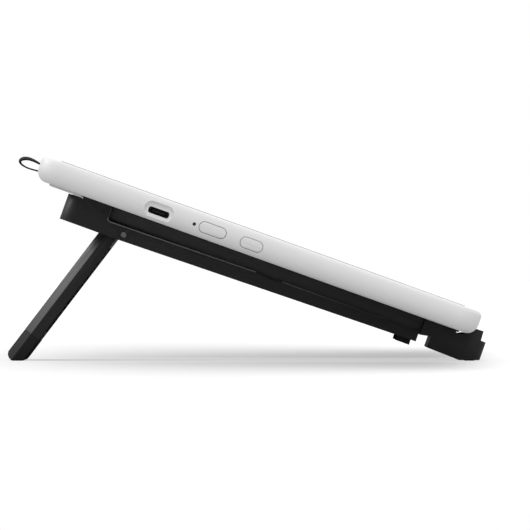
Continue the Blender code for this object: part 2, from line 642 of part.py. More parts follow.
def side_rail(name, side, parent):
    """Side wall with its ledge, rear boss and front toe in one moulding."""
    outer, inner = side * HALF_STAND, side * RAIL_INNER_X
    sections = ((outer, LEDGE_OUTER_V, LEDGE_FRONT_V), (inner, LEDGE_INNER_V, LEDGE_FRONT_V + 0.4 * MM))
    rings = [[(x, -u, v) for u, v in rail_section(ledge, front)] for x, ledge, front in sections]
    rail = loft(name, rings)
    boss = side_prism("boss", block_outline(), outer, side * (HALF_STAND - BOSS_WIDTH))
    combine(boss, plan_corner_tool(BLOCK_RADIUS, BLOCK_FRONT_U + 20 * MM), "INTERSECT")
    combine(rail, boss, "UNION")
    toe_u = RAIL_END_U - TOE_LENGTH
    skirt_v = DECK_FLOOR_V - SKIRT_DROP - GAP
    toe_end = RAIL_END_U - TOE_STEP
    toe = side_prism("toe", [(toe_u, rail_bottom(toe_u) + TOE_STEP),
                             (toe_end, rail_bottom(toe_end) + TOE_STEP), (toe_end, skirt_v),
                             (toe_u, skirt_v)],
                     side * (RAIL_INNER_X + 1 * MM), side * (HALF_STAND - TOE_WIDTH))
    combine(rail, toe, "UNION")
    foot = side_prism("foot_tool", flat_foot_outline(GAP), side * (flat_foot_x()[0] + GAP),
                      side * (flat_foot_x()[1] - GAP))
    combine(rail, foot)
    notch = [(NOTCH_U, LEDGE_INNER_V + 1 * MM), (NOTCH_U, LEDGE_INNER_V - 0.5 * MM),
             (NOTCH_U + NOTCH_LENGTH * 0.9, LEDGE_FRONT_V - NOTCH_DEPTH / 2),
             (NOTCH_U + NOTCH_LENGTH, LEDGE_FRONT_V + 1 * MM)]
    deep = HALF_STAND - RAIL_THICK * 0.6
    combine(rail, side_prism("notch_tool", notch, side * deep, side * (HALF_STAND + 1 * MM)))
    pin_end = HALF_STAND - RAIL_THICK * 0.3
    combine(rail, rod_across("pin_tool", HINGE_U, HINGE_V, PIN_RADIUS + GAP / 3,
                             side * (RAIL_INNER_X - 1 * MM), side * (pin_end + GAP)))
    combine(rail, rod_across("rivet_tool", RIVET_U, RIVET_V, RIVET_RADIUS + GAP / 3,
                             side * (RAIL_INNER_X - 1 * MM), side * (HALF_STAND + 1 * MM)))
    for u, v in bolt_places():
        combine(rail, rod_across("bolt_tool", u, v, BOLT_RADIUS + GAP,
                                 side * (HALF_STAND - BOSS_WIDTH - 1 * MM),
                                 side * (bolt_outer_x() + GAP), 16))
    return finish(rail, "black_abs", parent)


def rail_bottom(u):
    share = (u - RAIL_KNEE_U) / (RAIL_END_U - RAIL_KNEE_U)
    return -RAIL_DROP_REAR + share * (RAIL_DROP_REAR - RAIL_DROP_FRONT)


def flat_foot_outline(grow):
    top = rail_bottom(FLAT_FOOT_U) + FLAT_FOOT_SEAT + grow
    ends = (FLAT_FOOT_U - grow, FLAT_FOOT_U + FLAT_FOOT_LENGTH + grow)
    return [(ends[0], -FLAT_FOOT_DROP), (ends[1], -FLAT_FOOT_DROP), (ends[1], top), (ends[0], top)]


def flat_foot_x():
    outer = HALF_STAND - 1.7 * MM
    return outer, outer - FLAT_FOOT_WIDTH


def bolt_places():
    low = (BLOCK_U + BLOCK_DEPTH * 0.32, -BLOCK_DROP + 7 * MM)
    high = (BLOCK_U + BLOCK_DEPTH * 0.74, DECK_V - 4.5 * MM)
    return low, high


def bolt_outer_x():
    return HALF_STAND - BOSS_WIDTH + BOLT_LENGTH / 2


def rear_crossbar(parent):
    """Cross member between the bosses, pocketed from below, with seats for two rest pads."""
    half = HALF_STAND - BOSS_WIDTH - GAP
    bar = side_prism("rear_crossbar", block_outline(), -half, half)
    room = 2 * half - 2 * (BOLT_LENGTH / 2 + 2 * POCKET_WALL)
    pitch = room / POCKET_COUNT
    front = leg_rear_face_u(-BLOCK_DROP, GAP) - POCKET_WALL
    for index in range(POCKET_COUNT):
        x0 = -room / 2 + index * pitch + POCKET_WALL / 2
        combine(bar, box("pocket_tool", (x0, x0 + pitch - POCKET_WALL), (BLOCK_U + POCKET_WALL, front),
                         (-BLOCK_DROP - 1 * MM, REST_V - 2 * POCKET_WALL)))
    for side in (-1, 1):
        x, u, v = rest_pad_place(side)
        grown = ((x[0] - GAP, x[1] + GAP), (u[0] - GAP, u[1] + GAP), (v[0] - GAP, v[1] + 1 * MM))
        combine(bar, box("seat_tool", *grown))
        for bolt_u, bolt_v in bolt_places():
            combine(bar, rod_across("bolt_tool", bolt_u, bolt_v, BOLT_RADIUS + GAP, side * (half + 1 * MM),
                                    side * (bolt_outer_x() - BOLT_LENGTH - GAP), 16))
    return finish(bar, "black_abs", parent)


def crossbar_bolts(parent):
    """Two bolts across each joint between a boss and the crossbar."""
    for word, side in (("left", -1), ("right", 1)):
        for number, (u, v) in enumerate(bolt_places(), 1):
            bolt = rod_across(f"crossbar_bolt_{word}_{number}", u, v, BOLT_RADIUS,
                              side * (bolt_outer_x() - BOLT_LENGTH), side * bolt_outer_x(), 16)
            finish(bolt, "steel", parent)


def rest_pad_place(side):
    outer = HALF_STAND - BOSS_WIDTH - GAP - 4 * MM
    ends = sorted((side * outer, side * (outer - PAD_LENGTH)))
    return ends, (BLOCK_U + 1.2 * MM, STEP_U - 1.2 * MM), (REST_V - PAD_THICK, REST_V)


def rest_pads(parent):
    for name, side in (("rear_rest_pad_left", -1), ("rear_rest_pad_right", 1)):
        finish(box(name, *rest_pad_place(side)), "black_rubber", parent)


def deck_plate(parent):
    """Upper plate that the belly lies on, with a skirt down each side behind the rails."""
    a, b = SKIRT_X, SKIRT_X - SKIRT_THICK
    low = DECK_FLOOR_V - SKIRT_DROP
    outline = [(-a, DECK_V), (a, DECK_V), (a, low), (b, low), (b, DECK_FLOOR_V),
               (-b, DECK_FLOOR_V), (-b, low),
               (-a, low)]
    deck = loft("deck_plate", [[(x, -u, v) for x, v in outline] for u in (DECK_REAR_U, FRONT_STEP_U - GAP)])
    for x, u in deck_screw_places():
        around = [(x + p, u + q) for p, q in circle(SCREW_RADIUS + GAP, 12)]
        combine(deck, plan_prism("screw_tool", around, DECK_FLOOR_V - 1 * MM, DECK_FLOOR_V + 3 * MM))
    return finish(deck, "black_abs", parent)


def deck_screw_places():
    """Two screws up through each tie bar into the deck."""
    for side in (-1, 1):
        for back in (10 * MM, 20 * MM):
            yield side * TIE_X, FRONT_STEP_U - back


def tie_outline(grow):
    top = DECK_FLOOR_V - GAP + grow
    ends = (FRONT_STEP_U - TIE_REAR, FRONT_STEP_U + TIE_FRONT + grow)
    return [(ends[0], top - TIE_THICK - 2 * grow), (ends[1], top - TIE_THICK - 2 * grow), (ends[1], top),
            (ends[0], top)]


def tie_bars(parent):
    """Steel strips that run from under the deck into the front bar."""
    for name, side in (("tie_bar_left", -1), ("tie_bar_right", 1)):
        middle = side * TIE_X
        bar = side_prism(name, tie_outline(0), middle - TIE_WIDTH / 2, middle + TIE_WIDTH / 2)
        for x, u in deck_screw_places():
            if x * side > 0:
                around = [(x + p, u + q) for p, q in circle(SCREW_RADIUS + GAP, 12)]
                combine(bar, plan_prism("screw_tool", around, DECK_FLOOR_V - 5 * MM, DECK_FLOOR_V + 1 * MM))
        finish(bar, "steel", parent)
    low = DECK_FLOOR_V - 2 * GAP - TIE_THICK - SCREW_HEAD
    for number, (x, u) in enumerate(deck_screw_places(), 1):
        screw(f"deck_screw_{number}", x, u, low, DECK_FLOOR_V + 2.5 * MM, parent)


def belly_edge(angle, offset):
    """Point on the tablet's curved front edge: 0 is the belly, a right angle is the straight end."""
    u = TABLET_DEPTH - BELLY_RUN + (BELLY_RUN + offset) * math.sin(angle)
    return u, BELLY_V + BELLY_RISE - (BELLY_RISE + offset) * math.cos(angle)


def sole_v(u, lift):
    """Slope-frame height of a level plane, lift above the floor, at u."""
    return (lift - ORIGIN_Z + u * math.sin(TILT)) / math.cos(TILT)


def front_bar(parent):
    """Front foot and stop: a block with a lip that cups the tablet's front edge."""
    cup = [belly_edge(math.radians(d), GAP) for d in (8, 20, 35, 50, 64, 76)]
    lip_u = TABLET_DEPTH + LIP_OVER
    lift = SOLE_PAD_PROUD
    past_front = BAR_FRONT_U + 2 * MM
    sole_rear = BAR_SOLE_U - lift / math.sin(TILT)
    cheek_u = TABLET_DEPTH - CHEEK_IN
    outline = [(cheek_u, DECK_V), (FRONT_STEP_U, DECK_V), (FRONT_STEP_U, -NECK_DROP_REAR)]
    outline += [(BAR_U, -NECK_DROP), (BAR_U, -BAR_DROP_REAR), (sole_rear, sole_v(sole_rear, lift))]
    outline += [(past_front, sole_v(past_front, lift)), (past_front, BAR_SHOULDER_V)]
    outline += [(lip_u + 0.3 * MM, BAR_SHOULDER_V + 0.2 * MM), (lip_u, LIP_TOP_V)]
    outline += list(reversed(cup))
    outline += [(TABLET_DEPTH - STRIP_INSET + 1.2 * MM, REST_V), (cheek_u + 1.5 * MM, REST_V)]
    bar = side_prism("front_bar", outline, -HALF_STAND - 2 * MM, HALF_STAND + 2 * MM)
    between = HALF_STAND - CHEEK_THICK
    combine(bar, box("cheek_tool", (-between, between), (FRONT_STEP_U - 1 * MM, cheek_u + 3 * MM),
                     (REST_V - CHEEK_STEP, BELLY_V)))
    corners = [(-HALF_STAND, FRONT_STEP_U - 5 * MM, 0), (HALF_STAND, FRONT_STEP_U - 5 * MM, 0),
               (HALF_STAND, BAR_FRONT_U, BAR_RADIUS), (-HALF_STAND, BAR_FRONT_U, BAR_RADIUS)]
    combine(bar, plan_prism("plan_tool", rounded(corners, 6), -60 * MM, 10 * MM), "INTERSECT")
    for side in (-1, 1):
        x0, x1 = pad_x(side)
        combine(bar, side_prism("lip_tool", lip_pad_outline(GAP - 0.6 * MM, PAD_THICK + 2 * GAP, GAP),
                                x0 - GAP, x1 + GAP))
        low, high = sole_pad_sections(GAP)
        combine(bar, loft("sole_tool", [[(x0 - GAP if x < 0 else x1 + GAP, -u, v) for x, u, v in low],
                                        [(x0 - GAP if x < 0 else x1 + GAP, -u, v) for x, u, v in high]]))
        middle = side * TIE_X
        half = TIE_WIDTH / 2 + GAP
        combine(bar, side_prism("tie_tool", tie_outline(GAP), middle - half, middle + half))
    return finish(bar, "black_abs", parent)


def pad_x(side):
    return sorted((side * (HALF_STAND - PAD_INSET), side * (HALF_STAND - PAD_INSET - PAD_LENGTH)))


def lip_pad_outline(inner, outer, grow):
    """Crescent that follows the tablet's front edge."""
    spread = math.degrees(grow / BELLY_RUN)
    degrees = [24 - spread, 36, 48, 60 + spread]
    near = [belly_edge(math.radians(d), inner) for d in degrees]
    far = [belly_edge(math.radians(d), outer) for d in degrees]
    return near + list(reversed(far))


def lip_pads(parent):
    for name, side in (("front_lip_pad_left", -1), ("front_lip_pad_right", 1)):
        x0, x1 = pad_x(side)
        finish(side_prism(name, lip_pad_outline(GAP, GAP + PAD_THICK, 0), x0, x1), "black_rubber", parent)


def sole_pad_sections(grow):
    """Sole pad's footprint at the floor and at its top; x holds only the side's sign."""
    u0, u1 = BAR_SOLE_U + 1.6 * MM - grow, BAR_FRONT_U - 2.2 * MM + grow
    floor = -grow * 2
    top = SOLE_PAD_THICK + grow
    return [[(sign, u, sole_v(u, lift)) for sign, u in ((-1, u0), (1, u0), (1, u1), (-1, u1))]
            for lift in (floor, top)]


def sole_pads(parent):
    for name, side in (("front_sole_pad_left", -1), ("front_sole_pad_right", 1)):
        x0, x1 = pad_x(side)
        rings = [[(x0 if sign < 0 else x1, -u, v) for sign, u, v in ring] for ring in sole_pad_sections(0)]
        finish(loft(name, rings), "black_rubber", parent)


def flat_feet(parent):
    """Small feet that level the stand with its rear block when the leg is folded."""
    for name, side in (("flat_foot_left", -1), ("flat_foot_right", 1)):
        outer, inner = flat_foot_x()
        finish(side_prism(name, flat_foot_outline(0), side * outer, side * inner), "black_rubber", parent)


# ---------------------------------------------------------------- leg and hinge

def hinge_hardware(parent):
    """For each side: a plate on the rail's inside, its rivet, the hinge pin and a friction washer."""
    plate_inner = PLATE_X - PLATE_THICK
    for word, side in (("left", -1), ("right", 1)):
        low, high = rail_bottom(HINGE_U) + 1.0 * MM, DECK_FLOOR_V - SKIRT_DROP - GAP
        outline = rounded([(HINGE_U - 3.4 * MM, low, 1.5 * MM), (RIVET_U + 4.0 * MM, low, 1.5 * MM),
                           (RIVET_U + 4.0 * MM, high, 1.5 * MM), (HINGE_U - 3.4 * MM, high, 0.5 * MM)])
        plate = side_prism(f"hinge_plate_{word}", outline, side * PLATE_X, side * plate_inner)
        for u, v, radius in ((HINGE_U, HINGE_V, PIN_RADIUS), (RIVET_U, RIVET_V, RIVET_RADIUS)):
            hole = rod_across("hole", u, v, radius + GAP / 3, side * (PLATE_X + MM),
                              side * (plate_inner - MM))
            combine(plate, hole)
        finish(plate, "steel", parent)
        rivet = rod_across(f"hinge_rivet_{word}", RIVET_U, RIVET_V, RIVET_RADIUS, side * HALF_STAND,
                           side * (plate_inner - 0.5 * MM))
        finish(rivet, "steel", parent)
        pin = rod_across(f"hinge_pin_{word}", HINGE_U, HINGE_V, PIN_RADIUS,
                         side * (HALF_STAND - RAIL_THICK * 0.3), side * (LEG_HALF - PIN_IN_LEG))
        finish(pin, "steel", parent)
        face = plate_inner - GAP
        washer = rod_across(f"friction_washer_{word}", HINGE_U, HINGE_V, WASHER_RADIUS, side * face,
                            side * (face - WASHER_THICK))
        combine(washer, rod_across("hole", HINGE_U, HINGE_V, PIN_RADIUS + GAP / 3, side * (face + MM),
                                   side * (face - WASHER_THICK - MM)))
        finish(washer, "steel", parent)


def leg_prism(name, outline, half):
    """Outline in (t, reach), drawn across the stand, with the rear edge chamfered at both ends."""
    solid = loft(name, [[(x, t, -reach) for t, reach in outline] for x in (-half, half)])
    past = 2 * MM
    for side in (-1, 1):
        wedge = [(side * (half + past), LEG_THICK / 2 - LEG_CHAMFER - past),
                 (side * (half - LEG_CHAMFER - past), LEG_THICK / 2 + past),
                 (side * (half + past), LEG_THICK / 2 + past)]
        ends = (-LEG_THICK, 2 * HINGE_Z)
        combine(solid, loft("wedge_tool", [[(x, t, -reach) for x, t in wedge] for reach in ends]))
    return solid


def seam_reach():
    return leg_floor(0.0) - SHOE_LENGTH


def leg_panel(parent):
    """Plate with a round hinge edge, pocketed on its front face, and a tongue for the rubber shoe."""
    half_t = LEG_THICK / 2
    turns = [math.pi * k / 10 for k in range(11)]
    outline = [(half_t * math.cos(t), -half_t * math.sin(t)) for t in turns]
    outline += [(-half_t, seam_reach()), (half_t, seam_reach())]
    panel = leg_prism("leg_panel", outline, LEG_HALF)
    tongue_half = TONGUE_THICK / 2
    tongue = [(-tongue_half, seam_reach() - 1 * MM), (tongue_half, seam_reach() - 1 * MM),
              (tongue_half, seam_reach() + TONGUE_LENGTH), (-tongue_half, seam_reach() + TONGUE_LENGTH)]
    wide = LEG_HALF - 2 * LEG_CHAMFER
    ends = [[(x, t, -reach) for t, reach in tongue] for x in (-wide, wide)]
    combine(panel, loft("tongue", ends), "UNION")
    room = 2 * (LEG_HALF - PIN_IN_LEG - 2 * MM)
    pitch = room / LEG_POCKETS
    for index in range(LEG_POCKETS):
        x0 = -room / 2 + index * pitch + LEG_RIB / 2
        x1 = x0 + pitch - LEG_RIB
        near, far = half_t + LEG_RIB * 1.5, seam_reach() - LEG_RIB * 1.5
        deep = half_t - LEG_BACK_WALL
        pocket = [[(x, t, -reach) for x, reach in ((x0, near), (x1, near), (x1, far), (x0, far))]
                  for t in (-half_t - 1 * MM, deep)]
        combine(panel, loft("pocket_tool", pocket))
    for side in (-1, 1):
        ring = circle(PIN_RADIUS + PIN_RUNNING, 24)
        ends = (LEG_HALF + 1 * MM, LEG_HALF - PIN_IN_LEG - 0.5 * MM)
        bore = [[(side * x, a, b) for a, b in ring] for x in ends]
        combine(panel, loft("bore_tool", bore))
    return finish(panel, "black_abs", parent)


def leg_shoe(parent):
    """Rubber foot over the end of the leg, with a level sole."""
    half_t = LEG_THICK / 2
    start = seam_reach() + GAP
    sole_front_t = -half_t
    sole_rear_t = sole_front_t + SHOE_SOLE * math.cos(LEG_LEAN)
    heel = SHOE_HEEL_REACH
    outline = [(half_t, start), (half_t, heel), (half_t - 0.7 * MM, heel + 1.4 * MM),
               (half_t - 1.9 * MM, heel + 2.3 * MM),
               (sole_rear_t + 1.0 * MM, leg_floor(sole_rear_t) + 0.1 * MM),
               (sole_rear_t, leg_floor(sole_rear_t)), (sole_front_t, leg_floor(sole_front_t)),
               (-half_t - SHOE_PROUD, leg_floor(sole_front_t) - 1.7 * MM),
               (-half_t - SHOE_PROUD, start + 1.0 * MM),
               (-half_t, start)]
    shoe = leg_prism("leg_shoe", outline, LEG_HALF)
    tongue_half = TONGUE_THICK / 2 + GAP
    wide = LEG_HALF - 2 * LEG_CHAMFER + GAP
    end = seam_reach() + TONGUE_LENGTH + GAP
    above = start - 1 * MM
    slot = [(-tongue_half, above), (tongue_half, above), (tongue_half, end), (-tongue_half, end)]
    combine(shoe, loft("tongue_tool", [[(x, t, -reach) for t, reach in slot] for x in (-wide, wide)]))
    return finish(shoe, "black_rubber", parent)


def build():
    clear_scene()
    slope, hinge = frames()
    rear_shell(slope)
    cover_glass(slope)
    screen_stack(slope)
    main_board(slope)
    usb_port(slope)
    light_pipe(slope)
    edge_button("power_button", POWER_U, POWER_V, POWER_LENGTH, slope)
    edge_button("function_button", FUNCTION_U, FUNCTION_V, FUNCTION_LENGTH, slope)
    button_switches(slope)
    foot_strips(slope)
    shell_screws(slope)
    pen_loop(slope)
    side_rail("side_rail_left", -1, slope)
    side_rail("side_rail_right", 1, slope)
    rear_crossbar(slope)
    crossbar_bolts(slope)
    rest_pads(slope)
    deck_plate(slope)
    tie_bars(slope)
    front_bar(slope)
    lip_pads(slope)
    sole_pads(slope)
    flat_feet(slope)
    hinge_hardware(slope)
    leg_panel(hinge)
    leg_shoe(hinge)


build()
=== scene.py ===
"""Pen display on a folding desk stand: the finished pieces, their materials, the stage and the camera.

Distances along the tablet use its own slope: u runs down the slope from the rear edge to the front
edge, and v stands square to the screen with v = 0 on the glass. The leg has its own pair: t runs
through its thickness and reach runs from the hinge to the floor.
"""

import json
import math

import bmesh
import bpy
from bpy.props import FloatProperty, FloatVectorProperty, IntProperty, PointerProperty
from mathutils import Matrix, Vector


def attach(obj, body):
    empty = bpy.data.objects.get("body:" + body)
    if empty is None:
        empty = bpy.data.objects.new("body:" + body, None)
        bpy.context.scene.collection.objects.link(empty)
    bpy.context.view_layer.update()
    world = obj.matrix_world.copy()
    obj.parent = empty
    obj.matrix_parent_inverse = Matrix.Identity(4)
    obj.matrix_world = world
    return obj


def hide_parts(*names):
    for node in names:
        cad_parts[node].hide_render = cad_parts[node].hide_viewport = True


bl_info = {
    "name": "Pen display on a folding stand",
    "version": (1, 0, 0),
    "blender": (4, 5, 0),
    "location": "View3D > Sidebar > Pen display",
    "description": "Builds the finished pieces of a pen display and its stand round their frame",
    "category": "Add Mesh",
}

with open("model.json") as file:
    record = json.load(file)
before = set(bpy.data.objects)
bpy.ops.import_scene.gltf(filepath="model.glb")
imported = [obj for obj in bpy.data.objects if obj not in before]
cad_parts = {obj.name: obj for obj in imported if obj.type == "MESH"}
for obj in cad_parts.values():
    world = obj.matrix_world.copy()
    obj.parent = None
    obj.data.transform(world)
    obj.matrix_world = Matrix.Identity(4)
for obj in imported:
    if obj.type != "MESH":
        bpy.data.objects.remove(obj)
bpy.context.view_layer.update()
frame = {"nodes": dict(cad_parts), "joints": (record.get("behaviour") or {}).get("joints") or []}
MM = 0.001
LEG_FOLD = math.radians(107.6)   # from the open stop to flush under the deck
HINGE_TO_NOTCH = 74.3 * MM
SCREEN_HALF = 147.2 * MM, 82.8 * MM
GROUND_EDGE_V = -0.08 * MM       # the glass shows its ground edge below this height


def joint(name):
    return next(entry for entry in frame["joints"] if entry["name"] == name)


LIFT_AXIS = Vector(joint("tablet_lift")["axis"]).normalized()
TILT = math.atan2(-LIFT_AXIS.y, LIFT_AXIS.z)
HINGE = Vector(joint("leg_fold")["pos_m"])
LEG_LEAN = LEG_FOLD + TILT - math.pi / 2
TO_SLOPE = Matrix.Rotation(-TILT, 3, "X")
FROM_SLOPE = Matrix.Rotation(TILT, 3, "X")


def node_points(node):
    return [TO_SLOPE @ vertex.co for vertex in frame["nodes"][node].data.vertices]


REAR_Y = max(point.y for point in node_points("rear_shell"))
TOP_Z = max(point.z for point in node_points("cover_glass"))


def slope_box(node):
    """Ranges of a node in x, u and v."""
    points = node_points(node)
    xs = [point.x for point in points]
    us = [REAR_Y - point.y for point in points]
    vs = [point.z - TOP_Z for point in points]
    return (min(xs), max(xs)), (min(us), max(us)), (min(vs), max(vs))


def at(x, u, v):
    """World place of a point given in x, u and v."""
    return FROM_SLOPE @ Vector((x, REAR_Y - u, TOP_Z + v))


def middle(ends):
    return (ends[0] + ends[1]) / 2


def around(centre, whole):
    """Range of the given length round a centre."""
    return centre - whole / 2, centre + whole / 2


def grown(ends, by):
    """Range moved out by the same amount at both ends."""
    return ends[0] - by, ends[1] + by


(_, HALF_WIDTH), (_, DEPTH), (BELLY_V, RIM_V) = slope_box("rear_shell")
BAND_X, BAND_U, BAND_V = slope_box("pen_loop")
STAND_HALF = slope_box("front_bar")[0][1]


# ---- sizes and colours a user may change

def length(name, description, default):
    return FloatProperty(name=name, description=description, default=default, unit="LENGTH", precision=5)


def colour(name, description, hex_value):
    return FloatVectorProperty(name=name, description=description, default=linear(hex_value), size=4,
                               subtype="COLOR", min=0.0, max=1.0)


def linear(hex_value):
    """Linear colour, with alpha 1, from an sRGB hex value."""
    channels = [int(hex_value[i:i + 2], 16) / 255 for i in (1, 3, 5)]
    return (*[c / 12.92 if c <= 0.04045 else ((c + 0.055) / 1.055) ** 2.4 for c in channels], 1.0)


class PenDisplayShellSizes(bpy.types.PropertyGroup):
    plan_radius: length("Corner radius", "Corners of the tablet seen from above", 10.0 * MM)
    top_radius: length("Top edge radius", "Edge round the screen side", 2.6 * MM)
    belly_run: length("Belly run", "How far the curved lower edge reaches in", 5.2 * MM)
    belly_rise: length("Belly rise", "How far the curved lower edge climbs", 6.0 * MM)
    crown: length("Crown height", "Height of the widest line of the sides over the belly", 7.0 * MM)
    crown_run: length("Crown run", "How far the sides lean in at the screen side", 1.9 * MM)
    wall: length("Wall", "Thickness of the side wall", 2.2 * MM)
    groove: length("Button groove", "Gap round each button", 0.24 * MM)
    recess_depth: length("Recess depth", "Depth of the flared recess round the port", 1.9 * MM)
    slot_length: length("Slot length", "Length of the port's slot in the shell", 10.3 * MM)
    slot_height: length("Slot height", "Height of the port's slot in the shell", 3.2 * MM)


class PenDisplayStandSizes(bpy.types.PropertyGroup):
    edge: length("Moulded edge", "Radius on the edges of the black mouldings", 0.35 * MM)
    rubber_edge: length("Rubber edge", "Radius on the edges of the rubber pieces", 0.25 * MM)
    rib_pitch: length("Rib pitch", "Distance between the deck's stiffening ribs", 14.0 * MM)
    rib_height: length("Rib height", "Height of those ribs", 2.0 * MM)
    pad_ridges: IntProperty(name="Pad ridges", description="Grip ridges on each rest pad", default=15, min=2)


class PenDisplayColours(bpy.types.PropertyGroup):
    white: colour("White shell", "Moulded white ABS", "#EDEDED")
    white_soft: colour("White silicone", "Foot strips under the tablet", "#DFDEDD")
    black: colour("Black moulding", "Moulded black ABS of the stand", "#2B2B2C")
    # painted light: the deck gets a paler black to offset the shadow of the tablet's overhang
    deck: colour("Black deck", "Deck between the rails, a shade paler", "#363637")
    rubber: colour("Black rubber", "Shoe, pads and feet", "#1B1B1C")
    elastic: colour("Elastic", "Pen loop", "#1D1D1F")
    ink: colour("Bezel ink", "Black border printed under the glass", "#08080A")
    screen: colour("Screen", "Dark panel behind the glass", "#101216")
    glass_edge: colour("Ground edge", "Frosted edge of the cover glass", "#C9CBCC")


# ---- mesh tools

def put(name, bm):
    """Object at the origin from a bmesh whose faces are turned outwards."""
    bmesh.ops.recalc_face_normals(bm, faces=bm.faces)
    mesh = bpy.data.meshes.new(name)
    bm.to_mesh(mesh)
    bm.free()
    obj = bpy.data.objects.new(name, mesh)
    bpy.context.scene.collection.objects.link(obj)
    return obj


def loft(name, rings):
    """Closed solid through rings of the same number of points."""
    bm = bmesh.new()
    loops = [[bm.verts.new(point) for point in ring] for ring in rings]
    count = len(rings[0])
    for lower, upper in zip(loops, loops[1:]):
        for i in range(count):
            j = (i + 1) % count
            bm.faces.new((lower[i], lower[j], upper[j], upper[i]))
    bm.faces.new(loops[0])
    bm.faces.new(loops[-1])
    bmesh.ops.triangulate(bm, faces=bm.faces)
    return put(name, bm)


def rounded(corners, steps=6):
    """Closed outline through corners (a, b, radius), each turned into an arc where it has a radius."""
    outline = []
    count = len(corners)
    for index, (a, b, radius) in enumerate(corners):
        here = Vector((a, b))
        if radius == 0:
            outline.append((a, b))
            continue
        before = (Vector(corners[index - 1][:2]) - here).normalized()
        after = (Vector(corners[(index + 1) % count][:2]) - here).normalized()
        half = before.angle(after) / 2
        centre = here + (before + after).normalized() * radius / math.sin(half)
        first = here + before * radius / math.tan(half) - centre
        last = here + after * radius / math.tan(half) - centre
        turn = math.atan2(first.x * last.y - first.y * last.x, first.dot(last))
        for step in range(steps + 1):
            c, s = math.cos(turn * step / steps), math.sin(turn * step / steps)
            outline.append((centre.x + c * first.x - s * first.y, centre.y + s * first.x + c * first.y))
    return outline


def rectangle(a, b, radius, steps=6):
    """Rounded rectangle between the ranges a and b."""
    corners = [(a[0], b[0], radius), (a[1], b[0], radius), (a[1], b[1], radius), (a[0], b[1], radius)]
    return rounded(corners, steps)


def pill(a, b, long, high, steps=10):
    """Outline with round ends. Its radius is just under half its height, so that every edge has a length."""
    return rectangle(around(a, long), around(b, high), high * 0.4995, steps)


def disc(a, b, diameter, steps):
    """Round outline: a pill that is hardly longer than it is high."""
    return pill(a, b, diameter + 0.01 * MM, diameter, steps)


def side_prism(name, outline, x0, x1):
    """Solid from an outline in (u, v), drawn across the tablet from x0 to x1."""
    return loft(name, [[at(x, u, v) for u, v in outline] for x in (x0, x1)])


def plan_prism(name, outline, low, high):
    """Solid from an outline in (x, u), drawn square to the screen from low to high."""
    return loft(name, [[at(x, u, v) for x, u in outline] for v in (low, high)])


def slope_block(name, x, u, v):
    """Plain block between three ranges, as a tool or as the start of a piece."""
    outline = ((u[0], v[0]), (u[1], v[0]), (u[1], v[1]), (u[0], v[1]))
    return side_prism(name, outline, *x)


def bake(obj):
    """Turn the object's modifiers into plain mesh."""
    bpy.context.view_layer.update()
    graph = bpy.context.evaluated_depsgraph_get()
    mesh = bpy.data.meshes.new_from_object(obj.evaluated_get(graph))
    obj.modifiers.clear()
    obj.data = mesh
    return obj


def combine(obj, tool, operation="DIFFERENCE"):
    """Cut a tool out of a piece, or join or cross them, and throw the tool away."""
    modifier = obj.modifiers.new("combine", "BOOLEAN")
    modifier.object = tool
    modifier.operation = operation
    modifier.solver = "EXACT"
    bake(obj)
    bpy.data.objects.remove(tool, do_unlink=True)
    return obj


def soften(obj, width, segments=2, angle=28.0):
    """Round every edge that turns by more than angle, and keep its flats flat in the light."""
    modifier = obj.modifiers.new("soften", "BEVEL")
    modifier.width = width
    modifier.segments = segments
    modifier.limit_method = "ANGLE"
    modifier.angle_limit = math.radians(angle)
    modifier.harden_normals = True
    modifier.use_clamp_overlap = True
    obj.data.shade_smooth()
    return bake(obj)


def smooth(obj, angle=30.0):
    """Shade a piece as one surface that creases only where it turns by more than angle."""
    obj.data.shade_smooth()
    obj.data.set_sharp_from_angle(angle=math.radians(angle))
    return obj


def frame_copy(name, node):
    """Clean copy of a frame node: its triangles merged into whole faces."""
    bm = bmesh.new()
    bm.from_mesh(frame["nodes"][node].data)
    bmesh.ops.remove_doubles(bm, verts=bm.verts, dist=0.002 * MM)
    bmesh.ops.dissolve_limit(bm, angle_limit=math.radians(0.6), verts=bm.verts, edges=bm.edges)
    return put(name, bm)


def settle(obj, finish_name, body, slot, replaced=()):
    """Give a piece its finish and its place in the frame."""
    obj.data.materials.clear()
    obj.data.materials.append(finish(finish_name))
    for polygon in obj.data.polygons:
        polygon.material_index = 0
    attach(obj, body)
    if replaced:
        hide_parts(*replaced)
    return obj


def row_tree():
    """Geometry Nodes tree that repeats a piece along a line."""
    tree = bpy.data.node_groups.get("row of pieces")
    if tree:
        return tree
    tree = bpy.data.node_groups.new("row of pieces", "GeometryNodeTree")
    kinds = {"Piece": "Geometry", "Count": "Int", "Step": "Vector", "Material": "Material"}
    for socket, kind in kinds.items():
        tree.interface.new_socket(socket, in_out="INPUT", socket_type=f"NodeSocket{kind}")
    tree.interface.new_socket("Row", in_out="OUTPUT", socket_type="NodeSocketGeometry")
    given = add(tree, "NodeGroupInput")
    line = add(tree, "GeometryNodeMeshLine", {"Count": given.outputs["Count"], "Offset": given.outputs["Step"]})
    copies = add(tree, "GeometryNodeInstanceOnPoints", {"Points": line, "Instance": given.outputs["Piece"]})
    real = add(tree, "GeometryNodeRealizeInstances", {"Geometry": copies})
    painted = add(tree, "GeometryNodeSetMaterial", {"Geometry": real, "Material": given.outputs["Material"]})
    add(tree, "NodeGroupOutput", {"Row": painted})
    return tree


def repeat(obj, count, step, finish_name):
    """Replace a piece by a row of count pieces, each one step on."""
    tree = row_tree()
    modifier = obj.modifiers.new("row", "NODES")
    modifier.node_group = tree
    keys = {item.name: item.identifier for item in tree.interface.items_tree if item.in_out == "INPUT"}
    modifier[keys["Count"]] = count
    modifier[keys["Step"]] = tuple(step)
    modifier[keys["Material"]] = finish(finish_name)
    return bake(obj)


# ---- materials

